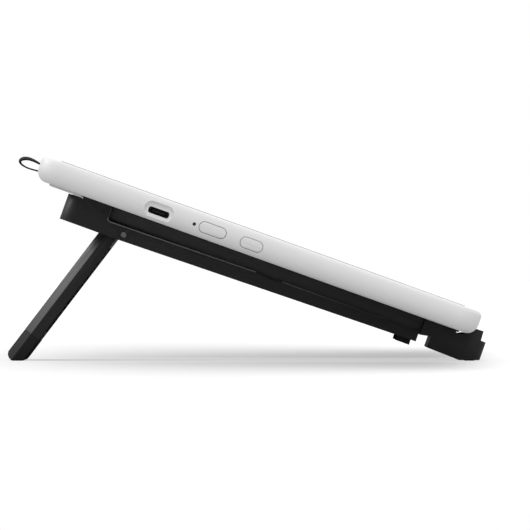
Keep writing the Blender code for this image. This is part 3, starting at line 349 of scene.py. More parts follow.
def feed(node, key, source):
    """Give an input a value, or link it to a socket or to the first output of a node."""
    if isinstance(source, bpy.types.Node):
        source = source.outputs[0]
    if isinstance(source, bpy.types.NodeSocket):
        node.id_data.links.new(source, node.inputs[key])
    else:
        node.inputs[key].default_value = source


def add(tree, kind, inputs=None, **settings):
    """Add one node with its own settings, and feed its inputs."""
    made = tree.nodes.new(kind)
    for key, value in settings.items():
        setattr(made, key, value)
    for key, source in (inputs or {}).items():
        feed(made, key, source)
    return made


def surface(name, **values):
    """New material with its tree, Principled shader and Object coordinates."""
    material = bpy.data.materials.new(name)
    material.use_nodes = True
    tree = material.node_tree
    shader = tree.nodes["Principled BSDF"]
    for key, value in values.items():
        feed(shader, key.replace("_", " "), value)
    place = add(tree, "ShaderNodeTexCoord").outputs["Object"]
    return material, tree, shader, place


def grain(tree, shader, place, size, strength, distance, detail=3.0):
    """Bump from a noise whose lumps are size wide."""
    noise = add(tree, "ShaderNodeTexNoise", {"Vector": place, "Scale": 1 / size, "Detail": detail,
                                             "Roughness": 0.6})
    bump = add(tree, "ShaderNodeBump", {"Height": noise, "Strength": strength, "Distance": distance})
    feed(shader, "Normal", bump)
    return noise


def tinted(tree, shader, place, base, size, spread, rough, rough_spread):
    """Slow change of colour and roughness over the surface, as moulded plastic and rubber show."""
    noise = add(tree, "ShaderNodeTexNoise", {"Vector": place, "Scale": 1 / size, "Detail": 2.0})
    ramp = add(tree, "ShaderNodeValToRGB", {"Fac": noise})
    for element, position, share in zip(ramp.color_ramp.elements, (0.3, 0.7), (1 - spread, 1 + spread)):
        element.position = position
        element.color = (*[min(c * share, 1.0) for c in base[:3]], 1.0)
    feed(shader, "Base Color", ramp)
    gloss = add(tree, "ShaderNodeMapRange", {"Value": noise, "To Min": rough - rough_spread,
                                             "To Max": rough + rough_spread})
    feed(shader, "Roughness", gloss)


def moulded(name, base, tint, tooth, **sockets):
    """Moulded plastic or rubber.

    tint is the size and spread of the slow change, then the roughness and its spread. tooth is the size,
    strength, depth and detail of the fine bump."""
    material, tree, shader, place = surface(name, **sockets)
    tinted(tree, shader, place, base, *tint)
    grain(tree, shader, place, *tooth)
    return material


def moulded_white_abs():
    """White ABS from a finely blasted mould: a soft satin sheen with no visible grain at arm's length."""
    return moulded("moulded_white_abs", colours().white, (60 * MM, 0.012, 0.56, 0.04),
                   (0.35 * MM, 0.12, 0.02 * MM), IOR=1.50, Specular_IOR_Level=0.28)


def cast_white_silicone():
    """White silicone rubber: matt, a little warmer than the shell, with a fine tooth."""
    return moulded("cast_white_silicone", colours().white_soft, (25 * MM, 0.02, 0.68, 0.05),
                   (0.5 * MM, 0.25, 0.03 * MM), IOR=1.42, Specular_IOR_Level=0.3)


def spark_textured_black_abs():
    """Black ABS from a spark-eroded mould: matt, with a coarse even tooth that greys under raking light.

    The tooth is drawn 0.6 mm wide, about three times its real width, so that it still shows."""
    return moulded("spark_textured_black_abs", colours().black, (35 * MM, 0.10, 0.52, 0.05),
                   (0.6 * MM, 0.30, 0.04 * MM, 4.0), IOR=1.52, Specular_IOR_Level=0.18)


def deck_black_abs_painted_paler():
    """Black ABS of the deck from a plain mould: smoother than the rails, and painted a shade paler to offset
    the shadow that the tablet's overhang casts on it.
    """
    return moulded("deck_black_abs_painted_paler", colours().deck, (35 * MM, 0.08, 0.46, 0.05),
                   (0.4 * MM, 0.18, 0.03 * MM, 4.0), IOR=1.52, Specular_IOR_Level=0.25)


def moulded_black_rubber():
    """Black rubber: dull, with a slow random change of tone and roughness and a coarse tooth."""
    return moulded("moulded_black_rubber", colours().rubber, (18 * MM, 0.16, 0.78, 0.07),
                   (0.45 * MM, 0.45, 0.05 * MM, 5.0), IOR=1.52, Specular_IOR_Level=0.2)


def painted_highlight_edge_abs():
    """Edge of the moulding with a painted highlight: a paler line that brightens towards the rear, with a finer
    tooth and more shine than the rails.
    """
    material, tree, shader, place = surface("painted_highlight_edge_abs", IOR=1.52, Specular_IOR_Level=0.4)
    far = add(tree, "ShaderNodeSeparateXYZ", {"Vector": place}).outputs["Y"]
    share = add(tree, "ShaderNodeMapRange", {"Value": far, "From Min": -60 * MM, "From Max": 62 * MM})
    # painted highlight: the ramp runs paler towards the rear, brightest by the block's corner
    ramp = add(tree, "ShaderNodeValToRGB", {"Fac": share})
    ramp.color_ramp.elements[0].color = linear("#3A3A3B")
    ramp.color_ramp.elements[1].color = linear("#7C7C7E")
    ramp.color_ramp.elements.new(0.45).color = linear("#747476")
    feed(shader, "Base Color", ramp)
    noise = grain(tree, shader, place, 1.5 * MM, 0.2, 0.02 * MM)
    gloss = add(tree, "ShaderNodeMapRange", {"Value": noise, "To Min": 0.30, "To Max": 0.45})
    feed(shader, "Roughness", gloss)
    return material


def woven_elastic():
    """Woven elastic: warp ribs 2 mm apart along the band and a finer weft across it, with a soft sheen.

    Read from the band's own UV map: U is the length along it and V the width, both in metres."""
    material, tree, shader, _ = surface("woven_elastic", Roughness=0.9, Specular_IOR_Level=0.05,
                                        Sheen_Weight=0.04, Sheen_Roughness=0.5)
    uv = add(tree, "ShaderNodeUVMap", uv_map="band").outputs["UV"]
    unit_wave = math.tau / 20        # a wave texture of scale 1 repeats over this length
    warp_pitch, weft_pitch = 1.973 * MM, 1.184 * MM
    warp = add(tree, "ShaderNodeTexWave", {"Vector": uv, "Scale": unit_wave / warp_pitch, "Distortion": 0.4},
               wave_type="BANDS", bands_direction="Y")
    weft = add(tree, "ShaderNodeTexWave", {"Vector": uv, "Scale": unit_wave / weft_pitch, "Distortion": 0.2},
               wave_type="BANDS", bands_direction="X")
    weave = add(tree, "ShaderNodeMath", {0: warp.outputs["Fac"], 1: weft.outputs["Fac"]}, operation="MULTIPLY")
    ramp = add(tree, "ShaderNodeValToRGB", {"Fac": weave})
    base = colours().elastic
    ramp.color_ramp.elements[0].color = (*[c * 0.45 for c in base[:3]], 1.0)
    ramp.color_ramp.elements[1].color = (*[c * 1.35 for c in base[:3]], 1.0)
    feed(shader, "Base Color", ramp)
    bump = add(tree, "ShaderNodeBump", {"Height": weave, "Strength": 0.6, "Distance": 0.12 * MM})
    feed(shader, "Normal", bump)
    return material


def etched_cover_glass():
    """Etched cover glass over a dark screen: a black ink border, a slightly lighter display inside it, and
    a pale ground edge that catches the light like frosted glass."""
    material, tree, shader, place = surface("etched_cover_glass", IOR=1.51, Specular_IOR_Level=0.32)
    flat = add(tree, "ShaderNodeMapping", {"Vector": place, "Rotation": (-TILT, 0.0, 0.0)}).outputs["Vector"]
    parts = add(tree, "ShaderNodeSeparateXYZ", {"Vector": flat})
    within = []
    for axis, centre, half in (("X", 0.0, SCREEN_HALF[0]), ("Y", REAR_Y - DEPTH / 2, SCREEN_HALF[1])):
        shift = add(tree, "ShaderNodeMath", {0: parts.outputs[axis], 1: centre}, operation="SUBTRACT")
        size = add(tree, "ShaderNodeMath", {0: shift}, operation="ABSOLUTE")
        within.append(add(tree, "ShaderNodeMath", {0: size, 1: half}, operation="LESS_THAN"))
    inside = add(tree, "ShaderNodeMath", {0: within[0], 1: within[1]}, operation="MULTIPLY")
    ground_below = (TO_SLOPE @ at(0, 0, GROUND_EDGE_V)).z
    edge = add(tree, "ShaderNodeMath", {0: parts.outputs["Z"], 1: ground_below}, operation="LESS_THAN")
    tone = add(tree, "ShaderNodeMath", {0: inside, 1: edge}, operation="MAXIMUM")
    tone = add(tree, "ShaderNodeMath", {0: tone, 1: edge}, operation="ADD")
    share = add(tree, "ShaderNodeMapRange", {"Value": tone, "From Max": 2.0})
    ramp = add(tree, "ShaderNodeValToRGB", {"Fac": share})
    ramp.color_ramp.interpolation = "CONSTANT"
    ramp.color_ramp.elements[0].color = tuple(colours().ink)
    ramp.color_ramp.elements[1].color = tuple(colours().glass_edge)
    ramp.color_ramp.elements[1].position = 0.75
    ramp.color_ramp.elements.new(0.25).color = tuple(colours().screen)
    feed(shader, "Base Color", ramp)
    etch = grain(tree, shader, place, 0.25 * MM, 0.08, 0.01 * MM)
    gloss = add(tree, "ShaderNodeMapRange", {"Value": etch, "To Min": 0.20, "To Max": 0.30})
    feed(shader, "Roughness", gloss)
    return material


# For each metal, its colour, its roughness and the width of its streaks
METALS = {
    # Zinc-plated steel: grey and slightly clouded
    "zinc_plated_steel": ("#A9ABAE", 0.38, 0.4 * MM),
    # Manganese-phosphated steel: nearly black and matt
    "phosphated_steel": ("#1E1E1F", 0.65, 0.4 * MM),
    # Blackened steel of the rivets and screws, rubbed to a mid grey with a low shine
    "black_oxide_steel": ("#7A7B7D", 0.50, 0.3 * MM),
    # Deep-drawn port shell under black nickel: dark, with a soft line of shine on its lip
    "blackened_stainless": ("#2B2B2D", 0.42, 0.15 * MM),
    # Deep-drawn stainless of the processor's lid: bright, with fine lines from the press
    "drawn_stainless": ("#B9BABC", 0.28, 0.15 * MM),
    # Rolled aluminium sheet: pale, with long lines from the rollers
    "rolled_aluminium": ("#CFD1D3", 0.35, 0.3 * MM),
    # Thin, dull gold over nickel on the port's contacts
    "gold_plated_contacts": ("#8C7440", 0.25, 0.1 * MM),
}


def metal(name, hex_value, rough, streak):
    """Drawn, rolled or turned metal: streaks of roughness along x, thirty times as long as they are wide."""
    material, tree, shader, place = surface(name, Metallic=1.0)
    feed(shader, "Base Color", linear(hex_value))
    scale = (1 / (streak * 30), 1 / streak, 1 / streak)
    stretched = add(tree, "ShaderNodeMapping", {"Vector": place, "Scale": scale}).outputs["Vector"]
    noise = add(tree, "ShaderNodeTexNoise", {"Vector": stretched, "Scale": 1.0, "Detail": 4.0})
    gloss = add(tree, "ShaderNodeMapRange", {"Value": noise, "To Min": rough - 0.1, "To Max": rough + 0.12})
    feed(shader, "Roughness", gloss)
    bump = add(tree, "ShaderNodeBump", {"Height": noise, "Strength": 0.15, "Distance": 0.02 * MM})
    feed(shader, "Normal", bump)
    return material


def solder_masked_board():
    """Green solder mask over copper: a faint grid of tracks under a semi-gloss lacquer."""
    material, tree, shader, place = surface("solder_masked_board", Roughness=0.35)
    tracks = add(tree, "ShaderNodeTexBrick", {"Vector": place, "Scale": 1 / (8 * MM), "Mortar Size": 0.03,
                                             "Color1": linear("#0F4A2A"), "Color2": linear("#0D4025"),
                                             "Mortar": linear("#2C7A4B")})
    feed(shader, "Base Color", tracks)
    return material


def smoked_lamp_lens():
    """Smoked polycarbonate light pipe, dark while the lamp is off."""
    material, tree, shader, place = surface("smoked_lamp_lens", IOR=1.58)
    tinted(tree, shader, place, linear("#161618"), 0.5 * MM, 0.1, 0.25, 0.05)
    return material


MAKERS = {maker.__name__: maker for maker in (
    moulded_white_abs, cast_white_silicone, spark_textured_black_abs, deck_black_abs_painted_paler, moulded_black_rubber,
    painted_highlight_edge_abs, woven_elastic, etched_cover_glass, solder_masked_board, smoked_lamp_lens)}


# What most pieces of the stand are settled with: their finish, body and slot
BLACK = "spark_textured_black_abs", "stand", "black_moulding"
RUBBER = "moulded_black_rubber", "stand", "black_rubber"


def finish(name):
    """Material of that name, made the first time that a piece asks for it."""
    if name in bpy.data.materials:
        return bpy.data.materials[name]
    return metal(name, *METALS[name]) if name in METALS else MAKERS[name]()


def colours():
    return bpy.context.scene.pen_display_colours


def shell_sizes():
    return bpy.context.scene.pen_display_shell


def stand_sizes():
    return bpy.context.scene.pen_display_stand


# ---- tablet

def plan_ring(inset, v, side_inset=None, steps=16):
    """Outline of the tablet seen from above at height v, moved in by inset, and by side_inset at its sides."""
    across = inset if side_inset is None else side_inset
    radius = max(shell_sizes().plan_radius - inset, 1.0 * MM)
    outline = rectangle((-HALF_WIDTH + across, HALF_WIDTH - across), (inset, DEPTH - inset), radius, steps)
    return [at(x, u, v) for x, u in outline]


def quarter(share, run):
    """Inset of an elliptical quarter: nothing at share 0 and run at share 1."""
    return run * (1 - math.sqrt(max(1 - share * share, 0.0)))


def end_inset(v):
    """How far the front and rear edges stand in: upright between two rounded edges."""
    sizes = shell_sizes()
    low = BELLY_V + sizes.belly_rise
    high = RIM_V - sizes.top_radius
    if v < low:
        return quarter((low - v) / sizes.belly_rise, sizes.belly_run)
    return quarter(max(v - high, 0.0) / sizes.top_radius, sizes.top_radius)


def side_inset(v):
    """How far the sides stand in: one crowned curve from the screen side to the belly."""
    sizes = shell_sizes()
    crown = BELLY_V + sizes.crown
    if v < crown:
        return quarter((crown - v) / sizes.crown, sizes.belly_run)
    return quarter((v - crown) / (RIM_V - crown), sizes.crown_run)


def skin_levels():
    """Heights of the skin's rings, closest where it curves most."""
    sizes = shell_sizes()
    low = BELLY_V + sizes.belly_rise
    high = RIM_V - sizes.top_radius
    levels = [low - sizes.belly_rise * math.cos(math.pi / 2 * step / 18) for step in range(19)]
    levels += [low + (high - low) * step / 8 for step in range(1, 8)]
    return levels + [high + sizes.top_radius * math.sin(math.pi / 2 * step / 8) for step in range(9)]


def skin_rings(inset=0.0):
    """Rings of the tablet's outer skin from the belly to the rim, moved in by inset."""
    return [plan_ring(end_inset(v) + inset, v, side_inset(v) + inset) for v in skin_levels()]


def button_place(node):
    """Middle, length and height of a button's cap: the node is longer by its two hidden ears."""
    ear, trim = 1.2 * MM, 0.4 * MM
    _, u, v = slope_box(node)
    return middle(u), middle(v), u[1] - u[0] - 2 * ear - trim, v[1] - v[0] - trim


def recess_tool():
    """Flared recess round the port, with a rounded rim and a rounded foot."""
    _, u, v = slope_box("usb_c_shell")
    foot_long, foot_high, full_depth = 12.3 * MM, 6.6 * MM, 1.9
    flare = ((-0.6, 1.3), (0.1, 1.1), (0.35, 0.98), (0.9, 0.72), (1.4, 0.48), (1.75, 0.24), (1.9, 0.02),
             (1.95, -0.15))
    rings = []
    for depth, grow in flare:
        high, long = foot_high + 2 * grow * MM, foot_long + 2 * grow * MM
        outline = rectangle(around(middle(u), long), around(middle(v), high), high * 0.42, 8)
        x = -HALF_WIDTH + depth * shell_sizes().recess_depth / full_depth
        rings.append([at(x, a, b) for a, b in outline])
    return loft("recess_tool", rings)


def shell_body():
    """White tray whose walls turn in over the top to carry the glass."""
    wall = shell_sizes().wall
    glass_x, _, glass_v = slope_box("cover_glass")
    gap, ease, shelf, shelf_thick = 0.2 * MM, 0.15 * MM, 2 * MM, 1.5 * MM
    floor_thick, cove_run, cove_rise, steps = 1.8 * MM, 3.4 * MM, 3.1 * MM, 8
    inset = HALF_WIDTH - glass_x[1] - gap
    shelf_v = glass_v[0] - 0.1 * MM
    rings = skin_rings()
    for run, v in ((inset - ease, RIM_V), (inset, RIM_V - ease), (inset, shelf_v), (inset + shelf, shelf_v),
                   (inset + shelf, shelf_v - shelf_thick), (wall, shelf_v - shelf_thick)):
        rings.append(plan_ring(run, v))
    floor_v = BELLY_V + floor_thick
    for step in range(steps, -1, -1):
        angle = math.pi / 2 * step / steps
        rings.append(plan_ring(wall + cove_run * (1 - math.sin(angle)),
                               floor_v + cove_rise * (1 - math.cos(angle))))
    return loft("tablet_shell", rings)


class PENDISPLAY_OT_shell(bpy.types.Operator):
    """White shell with its port recess, button holes, lamp hole, loop slits and strip seats"""
    bl_idname = "pendisplay.shell"
    bl_label = "Tablet shell"

    def execute(self, context):
        shell = shell_body()
        combine(shell, recess_tool())
        self.side_holes(shell)
        self.strip_seats(shell)
        self.loop_slits(shell)
        self.screw_sinks(shell)
        smooth(shell, 24)
        settle(shell, "moulded_white_abs", "tablet", "white_shell", ["rear_shell"])
        return {"FINISHED"}

    def side_holes(self, shell):
        """Port slot, button holes and lamp hole, all through the left wall."""
        sizes = shell_sizes()
        _, port_u, port_v = slope_box("usb_c_shell")
        _, lamp_u, lamp_v = slope_box("status_light_pipe")
        lamp_diameter = 1.62 * MM
        long, high = sizes.slot_length, sizes.slot_height
        outlines = [rectangle(around(middle(port_u), long), around(middle(port_v), high), high * 0.36, 8)]
        for node in ("power_button", "function_button"):
            mid_u, mid_v, long, high = button_place(node)
            outlines.append(pill(mid_u, mid_v, long + 2 * sizes.groove, high + 2 * sizes.groove, 12))
        outlines.append(disc(middle(lamp_u), middle(lamp_v), lamp_diameter, 6))
        for outline in outlines:
            combine(shell, side_prism("hole_tool", outline, -HALF_WIDTH - 1 * MM,
                                      -HALF_WIDTH + sizes.wall + 2 * MM))

    def strip_seats(self, shell):
        """Shallow seats in the belly for the two foot strips."""
        grow, corner, deep = 0.12 * MM, 3.1 * MM, 0.5 * MM
        for node in ("rear_foot_strip", "front_foot_strip"):
            x, u, _ = slope_box(node)
            outline = rectangle(grown(x, grow), grown(u, grow), corner, 6)
            combine(shell, plan_prism("seat_tool", outline, BELLY_V - 1 * MM, BELLY_V + deep))

    def loop_slits(self, shell):
        """Two slits in the rear wall, one for each end of the pen loop."""
        half_high, corner = 0.55 * MM, 0.4 * MM
        for v in band_ends():
            slit = rectangle(grown(BAND_X, 0.2 * MM), (v - half_high, v + half_high), corner, 4)
            rings = [[at(x, u, w) for x, w in slit] for u in (-1 * MM, shell_sizes().wall + 2 * MM)]
            combine(shell, loft("slit_tool", rings))

    def screw_sinks(self, shell):
        """Round sinks in the belly for the screw heads."""
        diameter, head_room = 4.0 * MM, 0.9 * MM
        for number in range(1, 7):
            x, u, v = slope_box(f"shell_screw_{number}")
            outline = disc(middle(x), middle(u), diameter, 6)
            combine(shell, plan_prism("sink_tool", outline, BELLY_V - 1 * MM, v[0] + head_room))


class PENDISPLAY_OT_glass(bpy.types.Operator):
    """Etched cover glass with a ground edge"""
    bl_idname = "pendisplay.glass"
    bl_label = "Cover glass"

    def execute(self, context):
        x, _, v = slope_box("cover_glass")
        inset = HALF_WIDTH - x[1]
        edge = 0.25 * MM
        rings = [plan_ring(inset, v[0]), plan_ring(inset, v[1] - edge)]
        rings += [plan_ring(inset + edge * 0.3, v[1] - edge * 0.3), plan_ring(inset + edge, v[1])]
        settle(smooth(loft("etched_glass", rings)), "etched_cover_glass", "tablet", "screen_glass",
               ["cover_glass"])
        return {"FINISHED"}


class PENDISPLAY_OT_buttons(bpy.types.Operator):
    """Power and function buttons whose faces follow the shell's edge"""
    bl_idname = "pendisplay.buttons"
    bl_label = "Edge buttons"

    def execute(self, context):
        proud, ear_thick, edge = 0.1 * MM, 1.3 * MM, 0.14 * MM
        for node in ("power_button", "function_button"):
            outline = pill(*button_place(node), 12)
            inner = slope_box(node)[0][1] - ear_thick
            cap = side_prism(f"{node}_cap", outline, -HALF_WIDTH - 2 * MM, inner)
            combine(cap, loft("edge_tool", skin_rings(-proud)), "INTERSECT")
            soften(cap, edge, 2, 50)
            smooth(cap, 24)
            settle(cap, "moulded_white_abs", node, "white_shell", [node])
        return {"FINISHED"}


class PENDISPLAY_OT_port(bpy.types.Operator):
    """Port shell, tongue and contacts"""
    bl_idname = "pendisplay.port"
    bl_label = "Port"

    def execute(self, context):
        x, u, v = slope_box("usb_c_shell")
        long, high, wall, back = u[1] - u[0], v[1] - v[0], 0.3 * MM, 1 * MM
        inner = pill(middle(u), middle(v), long - 2 * wall, high - 2 * wall)
        outer = pill(middle(u), middle(v), long, high)
        rings = [[at(a, p, q) for p, q in outline] for a, outline in
                 ((x[1] - back, inner), (x[0], inner), (x[0], outer), (x[1], outer))]
        settle(smooth(loft("port_shell", rings)), "blackened_stainless", "tablet", "port_metal",
               ["usb_c_shell"])
        x, u, v = slope_box("usb_c_tongue")
        tongue = soften(slope_block("port_tongue", x, u, v), 0.12 * MM)
        settle(tongue, "spark_textured_black_abs", "tablet", "black_trim", ["usb_c_tongue"])
        pitch, width, thick, count = 0.5 * MM, 0.24 * MM, 0.05 * MM, 12
        first = middle(u) - pitch * (count - 1) / 2
        for name, low in (("upper_contacts", v[1] - 0.01 * MM), ("lower_contacts", v[0] - 0.04 * MM)):
            contact = slope_block(name, (x[0] + 2.6 * MM, x[1] - 0.3 * MM), around(first, width),
                                  (low, low + thick))
            repeat(contact, count, at(0, pitch, 0) - at(0, 0, 0), "gold_plated_contacts")
            settle(contact, "gold_plated_contacts", "tablet", "port_metal")
        return {"FINISHED"}


def band_ends():
    """Heights at which the lower and the upper end of the pen loop enter the shell."""
    half_thick = 0.4 * MM
    return BAND_V[0] + half_thick, BAND_V[1] - half_thick


def band_path():
    """Middle line of the pen loop in (u, v): a relaxed leaf shape whose tip points up and back."""
    lower, upper = band_ends()
    tip, inner = BAND_U[0] + 1.0 * MM, BAND_U[1]
    stations = [(inner, upper), (0.4 * MM, upper), (-1.1 * MM, upper + 0.05 * MM),
                (tip * 0.40, upper + 0.3 * MM), (tip * 0.68, upper + 0.05 * MM),
                (tip * 0.88, upper - 0.75 * MM), (tip * 0.985, upper - 1.8 * MM),
                (tip * 0.89, upper - 2.95 * MM), (tip * 0.64, lower - 0.1 * MM),
                (tip * 0.38, lower - 0.15 * MM), (-0.3 * MM, lower + 0.1 * MM),
                (0.6 * MM, lower), (inner, lower)]
    points = []
    for k in range(len(stations) - 1):
        p0, p1, p2, p3 = (Vector(stations[min(max(k + j, 0), len(stations) - 1)]) for j in (-1, 0, 1, 2))
        for step in range(6):
            t = step / 6
            points.append(0.5 * ((2 * p1) + (p2 - p0) * t + (2 * p0 - 5 * p1 + 4 * p2 - p3) * t * t
                                 + (3 * p1 - p0 - 3 * p2 + p3) * t ** 3))
    return points + [Vector(stations[-1])]


class PENDISPLAY_OT_pen_loop(bpy.types.Operator):
    """Woven elastic pen loop, twisted at its tip so that one edge stands further out than the other"""
    bl_idname = "pendisplay.pen_loop"
    bl_label = "Pen loop"

    def execute(self, context):
        points = band_path()
        thick, twist, tip_share = 0.72 * MM, 1.25 * MM, 0.42
        mid_x, half = middle(BAND_X), (BAND_X[1] - BAND_X[0]) / 2
        section = rectangle((-half, half), (-thick / 2, thick / 2), thick * 0.45, 3)
        bm = bmesh.new()
        uv_layer = bm.loops.layers.uv.new("band")
        rings, lengths, travelled = [], [], 0.0
        for index, point in enumerate(points):
            before, after = points[max(index - 1, 0)], points[min(index + 1, len(points) - 1)]
            along = (after - before).normalized()
            out = Vector((-along.y, along.x))
            if index:
                travelled += (point - points[index - 1]).length
            share = index / (len(points) - 1)
            spread = 0.22 if share < tip_share else 0.13
            lean = twist * math.exp(-((share - tip_share) / spread) ** 2)
            ring = []
            for x, o in section:
                shift = o - lean * (x + half) / (2 * half)
                ring.append(bm.verts.new(at(mid_x + x, point.x + out.x * shift, point.y + out.y * shift)))
            rings.append(ring)
            lengths.append(travelled)
        count = len(section)
        for k in range(len(rings) - 1):
            for i in range(count):
                j = (i + 1) % count
                face = bm.faces.new((rings[k][i], rings[k][j], rings[k + 1][j], rings[k + 1][i]))
                for loop, (row, column) in zip(face.loops, ((k, i), (k, j), (k + 1, j), (k + 1, i))):
                    loop[uv_layer].uv = (lengths[row], section[column][0])
        bm.faces.new(rings[0])
        bm.faces.new(rings[-1])
        band = smooth(put("elastic_pen_loop", bm), 50)
        settle(band, "woven_elastic", "tablet", "loop_elastic", ["pen_loop"])
        return {"FINISHED"}


def screw_head(name, x, u, low, radius, height):
    """Head with a cross recess in its outer face, which looks down from the belly."""
    head = plan_prism(name, disc(x, u, 2 * radius, 10), low, low + height)
    soften(head, 0.15 * MM, 2)
    arm, slot = radius * 1.2, radius * 0.28
    for long, wide in ((arm, slot), (slot, arm)):
        tool = slope_block("recess", around(x, long), around(u, wide), (low - 1 * MM, low + height * 0.6))
        combine(head, tool)
    return smooth(head, 30)


class PENDISPLAY_OT_screws(bpy.types.Operator):
    """Rows of cross-recessed screws under the shell and under the deck"""
    bl_idname = "pendisplay.screws"
    bl_label = "Screws"

    def execute(self, context):
        rows = (("shell_screws_rear", "tablet", ["shell_screw_1", "shell_screw_3", "shell_screw_5"]),
                ("shell_screws_front", "tablet", ["shell_screw_2", "shell_screw_4", "shell_screw_6"]),
                ("deck_screws_left", "stand", ["deck_screw_1", "deck_screw_2"]),
                ("deck_screws_right", "stand", ["deck_screw_3", "deck_screw_4"]))
        head_high, shank_diameter, overlap = 0.7 * MM, 1.8 * MM, 0.1 * MM
        for name, body, nodes in rows:
            x, u, v = slope_box(nodes[0])
            next_x, next_u, _ = slope_box(nodes[1])
            head = screw_head(name, middle(x), middle(u), v[0], (x[1] - x[0]) / 2, head_high)
            outline = disc(middle(x), middle(u), shank_diameter, 6)
            combine(head, plan_prism("shank", outline, v[0] + head_high - overlap, v[1]), "UNION")
            step = at(next_x[0] - x[0], next_u[0] - u[0], 0) - at(0, 0, 0)
            repeat(head, len(nodes), step, "black_oxide_steel")
            settle(smooth(head, 30), "black_oxide_steel", body, "steel_hardware", nodes)
        return {"FINISHED"}


# ---- stand

def soft_copy(node, ending, width, finish_name, body, slot, segments=2):
    """Frame node with its edges rounded as a mould rounds them, named for the node and what it is now."""
    piece = frame_copy(f"{node}_{ending}", node)
    soften(piece, width, segments)
    return settle(piece, finish_name, body, slot, [node])


class PENDISPLAY_OT_stand(bpy.types.Operator):
    """Rails, crossbar, deck and front bar, with rounded edges"""
    bl_idname = "pendisplay.stand"
    bl_label = "Stand mouldings"

    def execute(self, context):
        edge = stand_sizes().edge
        for node in ("side_rail_left", "side_rail_right", "rear_crossbar", "front_bar"):
            soft_copy(node, "moulding", edge, *BLACK)
        # the deck's paler black is painted light against the overhang's shadow
        soft_copy("deck_plate", "moulding", edge, "deck_black_abs_painted_paler", "stand", "black_moulding")
        self.liners()
        self.seals()
        return {"FINISHED"}

    def liners(self):
        """Thin rubber sheets over the deck and the block, which the tablet lies on."""
        thick, step = 0.27 * MM, 0.4 * MM
        x, u, v = slope_box("deck_plate")
        block_u = (slope_box("rear_foot_strip")[1][1] + step, slope_box("rear_crossbar")[1][1])
        block_x = (-STAND_HALF, STAND_HALF)
        for name, across, along in (("deck_top_liner", x, u), ("block_top_liner", block_x, block_u)):
            liner = soften(slope_block(name, across, along, (v[1], v[1] + thick)), 0.08 * MM, 1)
            settle(liner, *RUBBER)

    def seals(self):
        """Strips that close the seams between the deck, the block and the front bar against light."""
        fit = 0.02 * MM
        x, u, v = slope_box("deck_plate")
        across = grown(x, -3 * MM)
        block_end, bar_start = slope_box("rear_crossbar")[1][1], slope_box("front_bar")[1][0]
        rear = slope_block("deck_rear_seal", across, (block_end + fit, u[0] - fit), (v[1] - 4.3 * MM, v[1]))
        settle(rear, *RUBBER)
        front = slope_block("deck_front_seal", across, (u[1] - 2 * MM, bar_start + 1 * MM),
                            (v[1] - 7.1 * MM, v[1] - 1.5 * MM))
        settle(front, *BLACK)


class PENDISPLAY_OT_ledge_edges(bpy.types.Operator):
    """Round beads along the rails' ledges, before and after the finger notch, coloured as a painted highlight
    """
    bl_idname = "pendisplay.ledge_edges"
    bl_label = "Ledge edges"

    def execute(self, context):
        runs = self.runs()
        for word, side in (("left", -1), ("right", 1)):
            for end, (path, radii) in runs.items():
                edge = smooth(loft(f"ledge_edge_{end}_{word}", self.bead(path, radii, side)), 50)
                # the beads carry the painted highlight along the ledges
                settle(edge, "painted_highlight_edge_abs", "stand", "black_moulding")
        return {"FINISHED"}

    def runs(self):
        """Paths in (u, v) with a radius at each point: down the block, round its corner and along the ledge."""
        wall_u = slope_box("rear_crossbar")[1][1] + 0.6 * MM
        rail_end = slope_box("side_rail_left")[1][1]
        notch_u = HINGE_TO_NOTCH + slope_box("hinge_pin_left")[1][0]
        arc, low = 1.7 * MM, BELLY_V - 7.3 * MM
        rear = [(wall_u, BELLY_V - 1 * MM), (wall_u, low + arc)]
        for angle in map(math.radians, (75, 60, 45, 30, 15, 0)):
            rear.append((wall_u + arc - arc * math.sin(angle), low + arc * 0.7 * (1 - math.cos(angle))))
        rear.append((notch_u - 1.5 * MM, low + 0.93 * MM))
        front = [(notch_u + 12 * MM, low + 0.7 * MM), (rail_end - 16 * MM, low + 0.7 * MM)]
        thin, full = 0.12 * MM, 0.26 * MM
        return {"rear": (rear, [thin] * 2 + [full] * (len(rear) - 2)), "front": (front, [0.2 * MM] * 2)}

    def bead(self, path, radii, side):
        """Rings of a round bead along a path, sunk into the rail's outer face."""
        sunk, drop = 0.12 * MM, 0.05 * MM
        rings = []
        for index, ((u, v), radius) in enumerate(zip(path, radii)):
            before, after = path[max(index - 1, 0)], path[min(index + 1, len(path) - 1)]
            along = Vector((after[0] - before[0], after[1] - before[1])).normalized()
            up = Vector((-along.y, along.x))
            turns = [math.tau * k / 10 for k in range(10)]
            rings.append([at(side * (STAND_HALF - sunk + radius * math.cos(a)), u + up.x * radius * math.sin(a),
                             v - drop + up.y * radius * math.sin(a)) for a in turns])
        return rings


class PENDISPLAY_OT_deck_ribs(bpy.types.Operator):
    """Stiffening ribs under the deck, in front of the folded leg"""
    bl_idname = "pendisplay.deck_ribs"
    bl_label = "Deck ribs"

    def execute(self, context):
        sizes = stand_sizes()
        x, _, v = slope_box("deck_plate")
        tie_start = slope_box("tie_bar_left")[1][0]
        half_thick, end_room, sunk, floor_v = 0.7 * MM, 20 * MM, 0.3 * MM, v[1] - 4.4 * MM
        count = int((x[1] - x[0] - end_room) / sizes.rib_pitch) + 1
        first = -(count - 1) / 2 * sizes.rib_pitch
        rib = slope_block("deck_ribs", (first - half_thick, first + half_thick),
                          (tie_start - 42 * MM, tie_start - 2 * MM),
                          (floor_v - sizes.rib_height, floor_v + sunk))
        soften(rib, 0.3 * MM, 2)
        repeat(rib, count, (sizes.rib_pitch, 0, 0), "spark_textured_black_abs")
        settle(rib, *BLACK)
        return {"FINISHED"}


